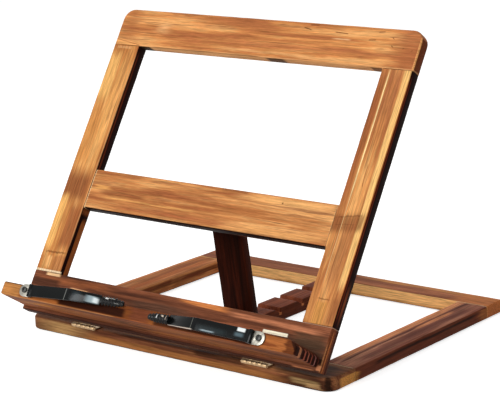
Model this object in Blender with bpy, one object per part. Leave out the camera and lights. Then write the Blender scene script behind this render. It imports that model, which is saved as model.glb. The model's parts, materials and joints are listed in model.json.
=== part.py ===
"""Folding wooden book stand with a hinged book frame, a propping leg and two page clips.

The base is a flat frame of four rails with a notched rack down its middle. The book frame
is hinged to the base's front rail by two small butt hinges, and a leg hinged to its middle
rail stands in one notch of the rack. A ledge with two swivelling clips holds the book.

Units are metres, +Z is up, +Y points to the back, and the origin is on the table under the
middle of the base. Lengths along Y in the code start at the base's front edge.
"""

import math

import bmesh
import bpy
from mathutils import Matrix, Vector

# Clearances
SEAT_GAP = 0.0003
FIT_GAP = 0.0003
CUT_OVERRUN = 0.001
MERGE_GAP = 0.000002

# Base: a flat frame that lies on the table
BASE_WIDTH = 0.336
BASE_DEPTH = 0.269
BASE_THICKNESS = 0.0118
BASE_FRONT_RAIL = 0.036
BASE_SIDE_RAIL = 0.0316
BASE_BACK_RAIL = 0.0275
BASE_FRONT_CORNER = 0.0115
BASE_BACK_CORNER = 0.002
BASE_ARRIS = 0.0016

# Notched rack down the middle of the base
RACK_WIDTH = 0.027
RACK_HEIGHT = 0.0118
RACK_FIRST_NOTCH = 0.070
RACK_LAST_NOTCH_INSET = 0.0355
RACK_NOTCHES = 5
NOTCH_DEPTH = 0.0041
NOTCH_RAMP_ANGLE = math.radians(29.0)
NOTCH_WALL_ANGLE = math.radians(20.0)
RACK_ARRIS = 0.0005
NOTCH_IN_USE = 1

# Book frame, measured up its face from the bottom edge
FRAME_WIDTH = 0.331
FRAME_HEIGHT = 0.2986
FRAME_THICKNESS = 0.0113
STILE_WIDTH = 0.0311
BOTTOM_RAIL = 0.0375
MIDDLE_RAIL_BOTTOM = 0.1019
MIDDLE_RAIL_WIDTH = 0.0376
TOP_RAIL = 0.0363
FRAME_TOP_CORNER = 0.011
FRAME_ARRIS = 0.0016

# Ledge that carries the book
LEDGE_LENGTH = 0.325
LEDGE_DEPTH = 0.036
LEDGE_THICKNESS = 0.0120
LEDGE_RISE = 0.003
LEDGE_CORNER = 0.002
LEDGE_ARRIS = 0.0015

# Propping leg
LEG_WIDTH = 0.033
LEG_THICKNESS = 0.0085
LEG_LENGTH = 0.1209
LEG_ARRIS = 0.001
LEG_HEAD_CLEARANCE = 0.0008

# Loose tenons that join the rails
TENON_WIDTH = 0.016
TENON_THICKNESS = 0.004
TENON_LENGTH = 0.022
RACK_TENON_WIDTH = 0.013

# Butt hinges: a leaf each side, five knuckles and a pin
KNUCKLE_RADIUS = 0.0019
KNUCKLE_EDGE_GAP = 0.0001
LEAF_THICKNESS = 0.0008
PIN_RADIUS = 0.0008
PIN_HEAD_RADIUS = 0.0014
PIN_HEAD_LENGTH = 0.0007
KNUCKLE_COUNT = 5
LEAF_REACH = 0.014
LEAF_CORNER = 0.0012
FRONT_HINGE_LENGTH = 0.026
FRONT_HINGE_OVERHANG = KNUCKLE_RADIUS + KNUCKLE_EDGE_GAP
FRONT_LEAF_LEVEL = 0.0002
LEG_HINGE_LENGTH = 0.025
LEG_HINGE_DROP = 0.003
LEG_LEAF_LEVEL = KNUCKLE_RADIUS - LEAF_THICKNESS
LEFT_HINGE_X = -0.0985
RIGHT_HINGE_X = 0.093
LEAF_SCREW_REACH = 0.0088
FRONT_SCREW_SPREAD = 0.0088
LEG_SCREW_SPREAD = 0.0078

# Countersunk wood screws
SCREW_HEAD_RADIUS = 0.0019
SCREW_SHANK_RADIUS = 0.0010
SCREW_HEAD_DEPTH = 0.0011
SCREW_TIP = 0.0015
SCREW_SLOT_WIDTH = 0.0006
SCREW_SLOT_DEPTH = 0.0005
LEAF_SCREW_LENGTH = 0.0068
LEG_SCREW_LENGTH = 0.0056
LEDGE_SCREW_LENGTH = 0.030
LEDGE_SCREW_X = 0.142

# Page clips, measured from the pivot screw along the arm
CLIP_LEFT_X = -0.1335
CLIP_RIGHT_X = 0.1263
CLIP_RISE = 0.0008
CLIP_LEFT_TILT = math.radians(2.6)
CLIP_RIGHT_TILT = math.radians(-0.3)
PLATE_WIDTH = 0.0114
PLATE_THICKNESS = 0.0012
PLATE_FRONT = 0.0060
PLATE_TONGUE = 0.0086
PLATE_TONGUE_WIDTH = 0.007
CLIP_SCREW_HEAD = 0.0027
CLIP_SCREW_HEAD_HEIGHT = 0.0011
CLIP_SCREW_CROWN_SHARE = 0.8
CLIP_SCREW_SHANK = 0.0013
CLIP_SCREW_LENGTH = 0.010
COLLAR_LENGTH = 0.0032
COLLAR_WIDTH = 0.0114
COLLAR_HEIGHT = 0.0042
ARM_WIDTH = 0.0105
ARM_END_WIDTH = 0.0088
ARM_THICKNESS = 0.0012
ARM_START_RISE = 0.0026
CREASE_REACH = 0.0585
CREASE_RISE = 0.0088
ARM_END_REACH = 0.0915
ARM_END_RISE = 0.0034
CREASE_FULLNESS = 0.00015
TONGUE_WIDTH = 0.0034
TONGUE_REACH = 0.108
TONGUE_RISE = 0.0021
GRIP_START = 0.0922
GRIP_END = 0.1150
GRIP_WIDTH = 0.0086
GRIP_HEIGHT = 0.0046
GRIP_RIBS = 7
GRIP_RIB_DEPTH = 0.0005
GRIP_TIP_SHARE = 0.5
GRIP_TAPER_SHARE = 0.4

# Fineness of round shapes
ARRIS_STEPS = 3
CORNER_STEPS = 6
ROUND_STEPS = 16
SCREW_STEPS = 12
GRIP_STEPS = 12
SMOOTH_ANGLE = math.radians(35.0)
ROUND_PROFILE_SHARE = 0.5

# Colours (linear RGB), roughness and metallic value of each material
FINISHES = {
    "scorched_pine": ((0.36, 0.13, 0.045, 1.0), 0.5, 0.0),
    "dark_pine": ((0.05, 0.018, 0.010, 1.0), 0.55, 0.0),
    "beech_tenon": ((0.62, 0.42, 0.22, 1.0), 0.7, 0.0),
    "brassed_steel": ((0.62, 0.47, 0.26, 1.0), 0.35, 1.0),
    "zinc_plate": ((0.72, 0.72, 0.70, 1.0), 0.3, 1.0),
    "black_enamel": ((0.010, 0.011, 0.012, 1.0), 0.18, 0.0),
    "black_rubber": ((0.012, 0.012, 0.012, 1.0), 0.45, 0.0),
}


def clear_scene():
    """Empty the scene of every object."""
    for item in list(bpy.data.objects):
        bpy.data.objects.remove(item, do_unlink=True)


def finish(name):
    """Return the named material, made on first use."""
    found = bpy.data.materials.get(name)
    if found:
        return found
    colour, roughness, metallic = FINISHES[name]
    made = bpy.data.materials.new(name)
    made.use_nodes = True
    shader = made.node_tree.nodes["Principled BSDF"]
    shader.inputs["Base Color"].default_value = colour
    shader.inputs["Roughness"].default_value = roughness
    shader.inputs["Metallic"].default_value = metallic
    return made


def mesh_from(bm, name):
    """Close a bmesh into a new mesh whose faces point outwards."""
    bmesh.ops.recalc_face_normals(bm, faces=bm.faces)
    mesh = bpy.data.meshes.new(name)
    bm.to_mesh(mesh)
    bm.free()
    return mesh


def add_object(name, mesh, finish_name, parent, round_piece=False):
    """Place a mesh in the scene as one named piece under its parent empty."""
    piece = bpy.data.objects.new(name, mesh)
    bpy.context.scene.collection.objects.link(piece)
    if not mesh.materials:
        mesh.materials.append(finish(finish_name))
    piece.parent = parent
    if round_piece:
        mesh.shade_smooth()
        mesh.set_sharp_from_angle(angle=SMOOTH_ANGLE)
    return piece


def add_empty(name, place, turn_x, parent=None, turn_z=0.0):
    """Add an empty that carries the pieces of one moving body."""
    pivot = bpy.data.objects.new(name, None)
    bpy.context.scene.collection.objects.link(pivot)
    pivot.parent = parent
    pivot.location = place
    pivot.rotation_euler = (turn_x, 0.0, turn_z)
    return pivot


def cut(piece, tools, name):
    """Cut one set of tool shapes out of a piece with a live Boolean."""
    bm = bmesh.new()
    for mesh, matrix in tools:
        shape = mesh.copy()
        shape.transform(matrix)
        bm.from_mesh(shape)
        bpy.data.meshes.remove(shape)
    tool = bpy.data.objects.new(name, mesh_from(bm, name))
    bpy.context.scene.collection.objects.link(tool)
    tool.parent = piece.parent
    tool.location = piece.location
    tool.rotation_euler = piece.rotation_euler
    tool.hide_render = True
    tool.display_type = "WIRE"
    boolean = piece.modifiers.new(name, "BOOLEAN")
    boolean.operation = "DIFFERENCE"
    boolean.solver = "EXACT"
    boolean.object = tool


def arc(centre, radius, start, turn, steps):
    """Points along an arc, both ends included."""
    points = []
    for step in range(steps + 1):
        angle = start + turn * step / steps
        points.append((centre[0] + radius * math.cos(angle), centre[1] + radius * math.sin(angle)))
    return points


def prism(cells, low, high):
    """Raise flat cells that share corners into one closed solid between two levels."""
    bm = bmesh.new()
    corners = {}
    for cell in cells:
        ring = []
        for x, y in cell:
            key = (round(x / MERGE_GAP), round(y / MERGE_GAP))
            if key not in corners:
                corners[key] = bm.verts.new((x, y, low))
            ring.append(corners[key])
        bm.faces.new(ring)
    raised = bmesh.ops.extrude_face_region(bm, geom=list(bm.faces))
    moved = [item for item in raised["geom"] if isinstance(item, bmesh.types.BMVert)]
    bmesh.ops.translate(bm, verts=moved, vec=(0.0, 0.0, high - low))
    bmesh.ops.recalc_face_normals(bm, faces=bm.faces)
    return bm


def soften(bm, radius, square_spans=()):
    """Round the arrises between the flat faces and the edges of a board.

    A square span is a box (x0, y0, x1, y1) in plan that covers a joint, where the arris
    stays sharp because the next board meets it flush.
    """
    chosen = []
    for edge in bm.edges:
        if len(edge.link_faces) != 2:
            continue
        flat = [abs(face.normal.z) > math.cos(SMOOTH_ANGLE) for face in edge.link_faces]
        if flat[0] == flat[1]:
            continue
        middle = (edge.verts[0].co + edge.verts[1].co) / 2
        held = False
        for x0, y0, x1, y1 in square_spans:
            if x0 <= middle.x <= x1 and y0 <= middle.y <= y1:
                held = True
        if not held:
            chosen.append(edge)
    bmesh.ops.bevel(bm, geom=chosen, offset=radius, segments=ARRIS_STEPS,
                    profile=ROUND_PROFILE_SHARE, affect="EDGES", clamp_overlap=True)


def span_at(x0, y0, x1, y1):
    """A joint span grown by the cutting overrun, so that edges on its rim fall inside."""
    return (min(x0, x1) - CUT_OVERRUN, min(y0, y1) - CUT_OVERRUN,
            max(x0, x1) + CUT_OVERRUN, max(y0, y1) + CUT_OVERRUN)


def lathe(profile, steps):
    """Turn a profile of (radius, height) points about Z; its ends lie on the axis."""
    bm = bmesh.new()
    rings = []
    for radius, height in profile:
        if radius <= 0.0:
            rings.append([bm.verts.new((0.0, 0.0, height))])
            continue
        ring = []
        for step in range(steps):
            angle = 2.0 * math.pi * step / steps
            ring.append(bm.verts.new((radius * math.cos(angle), radius * math.sin(angle), height)))
        rings.append(ring)
    for lower, upper in zip(rings, rings[1:]):
        for step in range(steps):
            after = (step + 1) % steps
            corners = [lower[step % len(lower)], lower[after % len(lower)],
                       upper[after % len(upper)], upper[step % len(upper)]]
            unique = []
            for corner in corners:
                if corner not in unique:
                    unique.append(corner)
            if len(unique) > 2:
                bm.faces.new(unique)
    return bm


def loft(sections):
    """Join rings of equal length into one closed body with flat ends."""
    bm = bmesh.new()
    rings = []
    for section in sections:
        rings.append([bm.verts.new(point) for point in section])
    count = len(rings[0])
    for lower, upper in zip(rings, rings[1:]):
        for step in range(count):
            after = (step + 1) % count
            bm.faces.new((lower[step], lower[after], upper[after], upper[step]))
    bm.faces.new(rings[0])
    bm.faces.new(rings[-1])
    return bm


def box_mesh(name, low, high):
    """A plain box between two corners, for cutting."""
    x0, y0, z0 = low
    x1, y1, z1 = high
    bm = prism([[(x0, y0), (x1, y0), (x1, y1), (x0, y1)]], z0, z1)
    return mesh_from(bm, name)


class Stand:
    """The sizes and places that follow from the driving dimensions."""

    def __init__(self):
        """Work out the hinge axes and the pose that the notch in use gives."""
        self.front_offset = FRONT_LEAF_LEVEL + LEAF_THICKNESS + SEAT_GAP
        self.leg_offset = LEG_LEAF_LEVEL + LEAF_THICKNESS + SEAT_GAP
        self.front_axis = Vector((-FRONT_HINGE_OVERHANG, BASE_THICKNESS + self.front_offset))
        self.middle_rail_top = MIDDLE_RAIL_BOTTOM + MIDDLE_RAIL_WIDTH
        # Heights up the frame and depths out of it are counted from the front hinge axis
        self.zero_up = FRONT_HINGE_OVERHANG
        self.back_face = self.front_offset
        self.front_face = self.back_face + FRAME_THICKNESS
        self.leg_axis_up = self.zero_up + self.middle_rail_top - LEG_HINGE_DROP
        self.leg_axis_out = self.back_face - self.leg_offset
        self.head_drop = LEG_HINGE_DROP + LEG_HEAD_CLEARANCE
        self.foot_reach = self.head_drop + LEG_LENGTH
        self.leg_back = self.leg_offset + LEG_THICKNESS
        self.solve_pose()

    def notch_bottom(self, number):
        """The lowest line of a notch, as (y, z)."""
        last = BASE_DEPTH - BASE_BACK_RAIL - RACK_LAST_NOTCH_INSET
        pitch = (last - RACK_FIRST_NOTCH) / (RACK_NOTCHES - 1)
        return Vector((RACK_FIRST_NOTCH + pitch * number, RACK_HEIGHT - NOTCH_DEPTH))

    def foot_corner(self):
        """Where the foot's rear corner stands, one seat gap off the ramp and the wall."""
        ramp = Vector((-math.cos(NOTCH_RAMP_ANGLE), math.sin(NOTCH_RAMP_ANGLE)))
        wall = Vector((math.sin(NOTCH_WALL_ANGLE), math.cos(NOTCH_WALL_ANGLE)))
        opening = ramp.angle(wall)
        return self.notch_bottom(NOTCH_IN_USE) + (ramp + wall) * (SEAT_GAP / math.sin(opening))

    def solve_pose(self):
        """Close the triangle of frame, leg and base to find the frame's lean."""
        foot = self.foot_corner()
        reach = foot - self.front_axis
        arm = math.hypot(self.leg_axis_up, self.leg_axis_out)
        leg = math.hypot(self.foot_reach, self.leg_back)
        share = (arm * arm + reach.length_squared - leg * leg) / (2.0 * arm * reach.length)
        arm_angle = math.acos(share) + math.atan2(reach.y, reach.x)
        self.lean = arm_angle - math.atan2(self.leg_axis_out, self.leg_axis_up)
        self.leg_axis = self.front_axis + arm * Vector((math.cos(arm_angle), math.sin(arm_angle)))
        down = foot - self.leg_axis
        straight = math.atan2(down.y, down.x) - math.atan2(-self.leg_back, -self.foot_reach)
        self.leg_turn = straight % (2.0 * math.pi)
        self.leg_open = self.leg_turn - self.lean

    def up(self, height):
        """A place up the frame, in the frame empty's own axis."""
        return self.zero_up + height


def rail_cells(x0, x1, y0, y1, splits_x=(), splits_y=()):
    """Cells of a straight board, split where joints begin and end."""
    columns = sorted([x0, x1, *splits_x])
    rows = sorted([y0, y1, *splits_y])
    cells = []
    for left, right in zip(columns, columns[1:]):
        for bottom, top in zip(rows, rows[1:]):
            cells.append([(left, bottom), (right, bottom), (right, top), (left, top)])
    return cells


def round_corner(cells, corner, radius, steps=CORNER_STEPS):
    """Replace one outer corner of the cells by an arc of the given radius."""
    changed = []
    for cell in cells:
        centre_x = sum(point[0] for point in cell) / len(cell)
        centre_y = sum(point[1] for point in cell) / len(cell)
        fresh = []
        for point in cell:
            gap = math.hypot(point[0] - corner[0], point[1] - corner[1])
            if gap > MERGE_GAP:
                fresh.append(point)
                continue
            sign_x = math.copysign(1.0, corner[0] - centre_x)
            sign_y = math.copysign(1.0, corner[1] - centre_y)
            centre = (corner[0] - sign_x * radius, corner[1] - sign_y * radius)
            start = math.atan2(0.0, sign_x) if sign_x * sign_y > 0 else math.atan2(sign_y, 0.0)
            fresh.extend(arc(centre, radius, start, math.pi / 2, steps))
        changed.append(fresh)
    return changed


def tenon_mesh(name, width, growth):
    """A loose tenon along Y with round edges, or its mortise when grown."""
    half = TENON_THICKNESS / 2 + growth
    side = width / 2 + growth - half
    length = TENON_LENGTH / 2 + growth
    right = arc((side, 0.0), half, -math.pi / 2, math.pi, CORNER_STEPS)
    left = arc((-side, 0.0), half, math.pi / 2, math.pi, CORNER_STEPS)
    sections = []
    for y in (-length, length):
        sections.append([(x, y, z) for x, z in right + left])
    return mesh_from(loft(sections), name)


def screw_profile(length, growth):
    """The outline of a countersunk screw from its head down, grown for its hole."""
    head = SCREW_HEAD_RADIUS + growth
    shank = SCREW_SHANK_RADIUS + growth
    return [(0.0, growth), (head, growth), (head, 0.0), (shank, -SCREW_HEAD_DEPTH),
            (shank, SCREW_TIP - length), (0.0, -length - growth)]


def slotted(bm, top, width, name):
    """Cut a driver slot across a screw's head and return the finished mesh."""
    screw = bpy.data.objects.new(name, mesh_from(bm, name))
    reach = width + CUT_OVERRUN
    slot = box_mesh(name + "_slot", (-reach, -SCREW_SLOT_WIDTH / 2, top - SCREW_SLOT_DEPTH),
                    (reach, SCREW_SLOT_WIDTH / 2, top + CUT_OVERRUN))
    tool = bpy.data.objects.new(name + "_slot", slot)
    for item in (screw, tool):
        bpy.context.scene.collection.objects.link(item)
    boolean = screw.modifiers.new("slot", "BOOLEAN")
    boolean.operation = "DIFFERENCE"
    boolean.solver = "EXACT"
    boolean.object = tool
    bpy.context.view_layer.update()
    depsgraph = bpy.context.evaluated_depsgraph_get()
    mesh = bpy.data.meshes.new_from_object(screw.evaluated_get(depsgraph))
    for item in (screw, tool):
        bpy.data.objects.remove(item, do_unlink=True)
    mesh.name = name
    return mesh


def countersunk_screw(name, length):
    """A slotted countersunk screw with its head's top at the origin, pointing down."""
    bm = lathe(screw_profile(length, 0.0)[1:], SCREW_STEPS)
    open_rim = [edge for edge in bm.edges if edge.is_boundary]
    bmesh.ops.contextual_create(bm, geom=open_rim)
    return slotted(bm, 0.0, SCREW_HEAD_RADIUS, name)


def screw_hole(name, length):
    """The hole of a countersunk screw, open above the head."""
    profile = screw_profile(length, FIT_GAP)
    profile[0] = (0.0, CUT_OVERRUN)
    profile[1] = (profile[1][0], CUT_OVERRUN)
    return mesh_from(lathe(profile, SCREW_STEPS), name)


def leaf_mesh(name, length, level, side, mine):
    """One hinge leaf: a plate and its own knuckles about the X axis.

    The plate lies on the side of the axis that side names (1 above, -1 below), with its
    near face at the given level, and reaches towards +Y.
    """
    pitch = length / KNUCKLE_COUNT
    plate_start = math.sqrt(KNUCKLE_RADIUS ** 2 - (level + LEAF_THICKNESS / 2) ** 2) - LEAF_THICKNESS / 2
    half = length / 2
    root = KNUCKLE_RADIUS + FIT_GAP
    knuckles = []
    for number in mine:
        left = -half + pitch * number + (FIT_GAP / 2 if number else 0.0)
        right = -half + pitch * (number + 1) - (FIT_GAP / 2 if number < KNUCKLE_COUNT - 1 else 0.0)
        knuckles.append((left, right))
    outline = [(half, root), (half, LEAF_REACH - LEAF_CORNER)]
    outline += arc((half - LEAF_CORNER, LEAF_REACH - LEAF_CORNER), LEAF_CORNER, 0.0, math.pi / 2,
                   ARRIS_STEPS)[1:]
    outline += arc((-half + LEAF_CORNER, LEAF_REACH - LEAF_CORNER), LEAF_CORNER, math.pi / 2,
                   math.pi / 2, ARRIS_STEPS)
    outline += [(-half, root)]
    for left, right in knuckles:
        outline += [(left, root), (left, plate_start), (right, plate_start), (right, root)]
    cleaned = []
    for point in outline:
        if not cleaned or math.dist(point, cleaned[-1]) > MERGE_GAP:
            cleaned.append(point)
    if math.dist(cleaned[0], cleaned[-1]) < MERGE_GAP:
        cleaned.pop()
    plate = prism([cleaned], level, level + LEAF_THICKNESS)
    hole = PIN_RADIUS + FIT_GAP
    shapes = [mesh_from(plate, name)]
    for left, right in knuckles:
        bm = bmesh.new()
        rings = []
        for x in (left, right):
            for radius in (KNUCKLE_RADIUS, hole):
                circle = arc((0.0, 0.0), radius, math.pi / 2, -2 * math.pi, ROUND_STEPS)[:-1]
                rings.append([bm.verts.new((x, y, z)) for y, z in circle])
        order = [(0, 2), (2, 3), (3, 1), (1, 0)]
        for first, second in order:
            for i in range(ROUND_STEPS):
                after = (i + 1) % ROUND_STEPS
                bm.faces.new((rings[first][i], rings[first][after],
                              rings[second][after], rings[second][i]))
        shapes.append(mesh_from(bm, name))
    base = bpy.data.objects.new(name, shapes[0])
    bpy.context.scene.collection.objects.link(base)
    helpers = [base]
    for number, shape in enumerate(shapes[1:]):
        knuckle = bpy.data.objects.new(name + "_knuckle", shape)
        bpy.context.scene.collection.objects.link(knuckle)
        helpers.append(knuckle)
        union = base.modifiers.new("knuckle_%d" % number, "BOOLEAN")
        union.operation = "UNION"
        union.solver = "EXACT"
        union.object = knuckle
    bpy.context.view_layer.update()
    depsgraph = bpy.context.evaluated_depsgraph_get()
    mesh = bpy.data.meshes.new_from_object(base.evaluated_get(depsgraph))
    for item in helpers:
        bpy.data.objects.remove(item, do_unlink=True)
    if side < 0:
        mesh.transform(Matrix.Scale(-1.0, 4, Vector((0.0, 0.0, 1.0))))
        mesh.flip_normals()
    mesh.name = name
    return mesh


def pin_mesh(name, length):
    """A hinge pin along X with a low round head at each end."""
    head = length / 2 + FIT_GAP
    end = head + PIN_HEAD_LENGTH
    profile = [(0.0, -end), (PIN_HEAD_RADIUS / 2, -end), (PIN_HEAD_RADIUS, -head - PIN_HEAD_LENGTH / 2),
               (PIN_HEAD_RADIUS, -head), (PIN_RADIUS, -head), (PIN_RADIUS, head),
               (PIN_HEAD_RADIUS, head), (PIN_HEAD_RADIUS, head + PIN_HEAD_LENGTH / 2),
               (PIN_HEAD_RADIUS / 2, end), (0.0, end)]
    mesh = mesh_from(lathe(profile, ROUND_STEPS), name)
    mesh.transform(Matrix.Rotation(math.pi / 2, 4, "Y"))
    return mesh


class Hardware:
    """Meshes that several pieces share."""

    def __init__(self):
        """Make the screws, their holes, the tenons and the mortises once."""
        self.leaf_screw = countersunk_screw("leaf_screw", LEAF_SCREW_LENGTH)
        self.leaf_hole = screw_hole("leaf_screw_hole", LEAF_SCREW_LENGTH)
        self.leg_screw = countersunk_screw("leg_screw", LEG_SCREW_LENGTH)
        self.leg_hole = screw_hole("leg_screw_hole", LEG_SCREW_LENGTH)
        self.ledge_screw = countersunk_screw("ledge_screw", LEDGE_SCREW_LENGTH)
        self.ledge_hole = screw_hole("ledge_screw_hole", LEDGE_SCREW_LENGTH)
        self.tenon = tenon_mesh("loose_tenon", TENON_WIDTH, 0.0)
        self.mortise = tenon_mesh("mortise", TENON_WIDTH, FIT_GAP)
        self.rack_tenon = tenon_mesh("rack_tenon", RACK_TENON_WIDTH, 0.0)
        self.rack_mortise = tenon_mesh("rack_mortise", RACK_TENON_WIDTH, FIT_GAP)


def place(x, y, z, turn_x=0.0, turn_z=0.0):
    """A placing matrix: turned about X, then about Z, then moved."""
    turned = Matrix.Rotation(turn_z, 4, "Z") @ Matrix.Rotation(turn_x, 4, "X")
    return Matrix.Translation((x, y, z)) @ turned


def add_shared(name, mesh, matrix, finish_name, parent, round_piece=True):
    """Add a piece that shares its mesh with its likes, placed by location and rotation."""
    piece = add_object(name, mesh, finish_name, parent, round_piece)
    piece.location = matrix.to_translation()
    piece.rotation_euler = matrix.to_euler()
    return piece


def hinge_screw_places(x, offset, reach_sign, spread, side):
    """Places of a leaf's two screws about the hinge axis; they point into the wood."""
    turn = 0.0 if side < 0 else math.pi
    head = side * offset
    reach = reach_sign * LEAF_SCREW_REACH
    return [place(x - spread, reach, head, turn), place(x + spread, reach, head, turn)]


def build_base(stand, kit, base):
    """The four base rails, the rack and the tenons that hold them together."""
    half = BASE_WIDTH / 2
    inner = half - BASE_SIDE_RAIL
    back = BASE_DEPTH - BASE_BACK_RAIL
    middle = BASE_THICKNESS / 2
    joint_x = half - BASE_SIDE_RAIL / 2
    side_joints = [place(side * joint_x, y, middle) for side in (-1, 1)
                   for y in (BASE_FRONT_RAIL, back)]
    rack_joints = [place(0.0, y, middle) for y in (BASE_FRONT_RAIL, back)]
    rack_half = RACK_WIDTH / 2

    cells = rail_cells(-half, half, 0.0, BASE_FRONT_RAIL, (-inner, -rack_half, rack_half, inner))
    for side in (-1, 1):
        cells = round_corner(cells, (side * half, 0.0), BASE_FRONT_CORNER)
    bm = prism(cells, 0.0, BASE_THICKNESS)
    spans = [span_at(side * inner, BASE_FRONT_RAIL, side * half, BASE_FRONT_RAIL) for side in (-1, 1)]
    spans.append(span_at(-rack_half, BASE_FRONT_RAIL, rack_half, BASE_FRONT_RAIL))
    soften(bm, BASE_ARRIS, [shrink_span(span) for span in spans])
    front = add_object("base_front_rail", mesh_from(bm, "base_front_rail"), "scorched_pine", base)
    tools = [(kit.mortise, side_joints[0]), (kit.mortise, side_joints[2])]
    tools.append((kit.rack_mortise, rack_joints[0]))
    for x in (LEFT_HINGE_X, RIGHT_HINGE_X):
        for spot in front_hinge_screws(x, -1):
            tools.append((kit.leaf_hole, hinge_to_base(stand) @ spot))
    cut(front, tools, "base_front_rail_cuts")

    cells = rail_cells(-half, half, back, BASE_DEPTH, (-inner, -rack_half, rack_half, inner))
    for side in (-1, 1):
        cells = round_corner(cells, (side * half, BASE_DEPTH), BASE_BACK_CORNER, ARRIS_STEPS)
    bm = prism(cells, 0.0, BASE_THICKNESS)
    spans = [span_at(side * inner, back, side * half, back) for side in (-1, 1)]
    spans.append(span_at(-rack_half, back, rack_half, back))
    soften(bm, BASE_ARRIS, [shrink_span(span) for span in spans])
    rear = add_object("base_back_rail", mesh_from(bm, "base_back_rail"), "scorched_pine", base)
    cut(rear, [(kit.mortise, side_joints[1]), (kit.mortise, side_joints[3]),
               (kit.rack_mortise, rack_joints[1])], "base_back_rail_cuts")

    for side, label, first in ((-1, "left", 0), (1, "right", 2)):
        low = min(side * inner, side * half)
        high = max(side * inner, side * half)
        bm = prism(rail_cells(low, high, BASE_FRONT_RAIL + SEAT_GAP, back - SEAT_GAP),
                   0.0, BASE_THICKNESS)
        ends = [span_at(low, y, high, y) for y in (BASE_FRONT_RAIL + SEAT_GAP, back - SEAT_GAP)]
        soften(bm, BASE_ARRIS, [shrink_span(span) for span in ends])
        name = "base_side_rail_" + label
        rail = add_object(name, mesh_from(bm, name), "scorched_pine", base)
        joints = side_joints[first:first + 2]
        cut(rail, [(kit.mortise, joint) for joint in joints], name + "_cuts")
        for joint, end in zip(joints, ("front", "back")):
            add_shared("base_tenon_%s_%s" % (label, end), kit.tenon, joint, "beech_tenon", base)

    build_rack(stand, kit, base, back, rack_joints)


def shrink_span(span):
    """Draw a joint span in along its length, so that it holds no edge beyond the joint."""
    x0, y0, x1, y1 = span
    draw = 2 * CUT_OVERRUN
    if x1 - x0 > y1 - y0:
        return (x0 + draw, y0, x1 - draw, y1)
    return (x0, y0 + draw, x1, y1 - draw)


def build_rack(stand, kit, base, back, joints):
    """The notched rack: flat treads, each falling by a ramp to the next notch's wall."""
    start = BASE_FRONT_RAIL + SEAT_GAP
    end = back - SEAT_GAP
    profile = [(start, 0.0), (start, RACK_HEIGHT)]
    ramp = NOTCH_DEPTH / math.tan(NOTCH_RAMP_ANGLE)
    wall = NOTCH_DEPTH * math.tan(NOTCH_WALL_ANGLE)
    for number in range(RACK_NOTCHES):
        bottom = stand.notch_bottom(number)
        profile.append((bottom.x - ramp, RACK_HEIGHT))
        profile.append((bottom.x, bottom.y))
        profile.append((bottom.x + wall, RACK_HEIGHT))
    profile += [(end, RACK_HEIGHT), (end, 0.0)]
    half = RACK_WIDTH / 2
    sections = []
    for x in (-half, half):
        sections.append([(x, y, z) for y, z in profile])
    bm = loft(sections)
    bmesh.ops.recalc_face_normals(bm, faces=bm.faces)
    chosen = []
    for edge in bm.edges:
        ends = [vert.co for vert in edge.verts]
        along_top = min(ends[0].z, ends[1].z) > 0.0 and abs(ends[0].x - ends[1].x) < CUT_OVERRUN
        if along_top:
            chosen.append(edge)
    bmesh.ops.bevel(bm, geom=chosen, offset=RACK_ARRIS, segments=1, profile=ROUND_PROFILE_SHARE,
                    affect="EDGES", clamp_overlap=True)
    rack = add_object("notched_rack", mesh_from(bm, "notched_rack"), "scorched_pine", base)
    cut(rack, [(kit.rack_mortise, joint) for joint in joints], "notched_rack_cuts")
    for joint, label in zip(joints, ("front", "back")):
        add_shared("rack_tenon_" + label, kit.rack_tenon, joint, "beech_tenon", base)


def hinge_to_base(stand):
    """From the front hinge axis to the base's own axes."""
    return Matrix.Translation((0.0, stand.front_axis.x, stand.front_axis.y))


def front_hinge_screws(x, side):
    """The two screws of one front leaf, about the hinge axis."""
    return hinge_screw_places(x, FRONT_LEAF_LEVEL, 1, FRONT_SCREW_SPREAD, side)


def leg_hinge_screws(side):
    """The two screws of one leg hinge leaf, about the leg's hinge axis."""
    return hinge_screw_places(0.0, LEG_LEAF_LEVEL, -1, LEG_SCREW_SPREAD, side)


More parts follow.
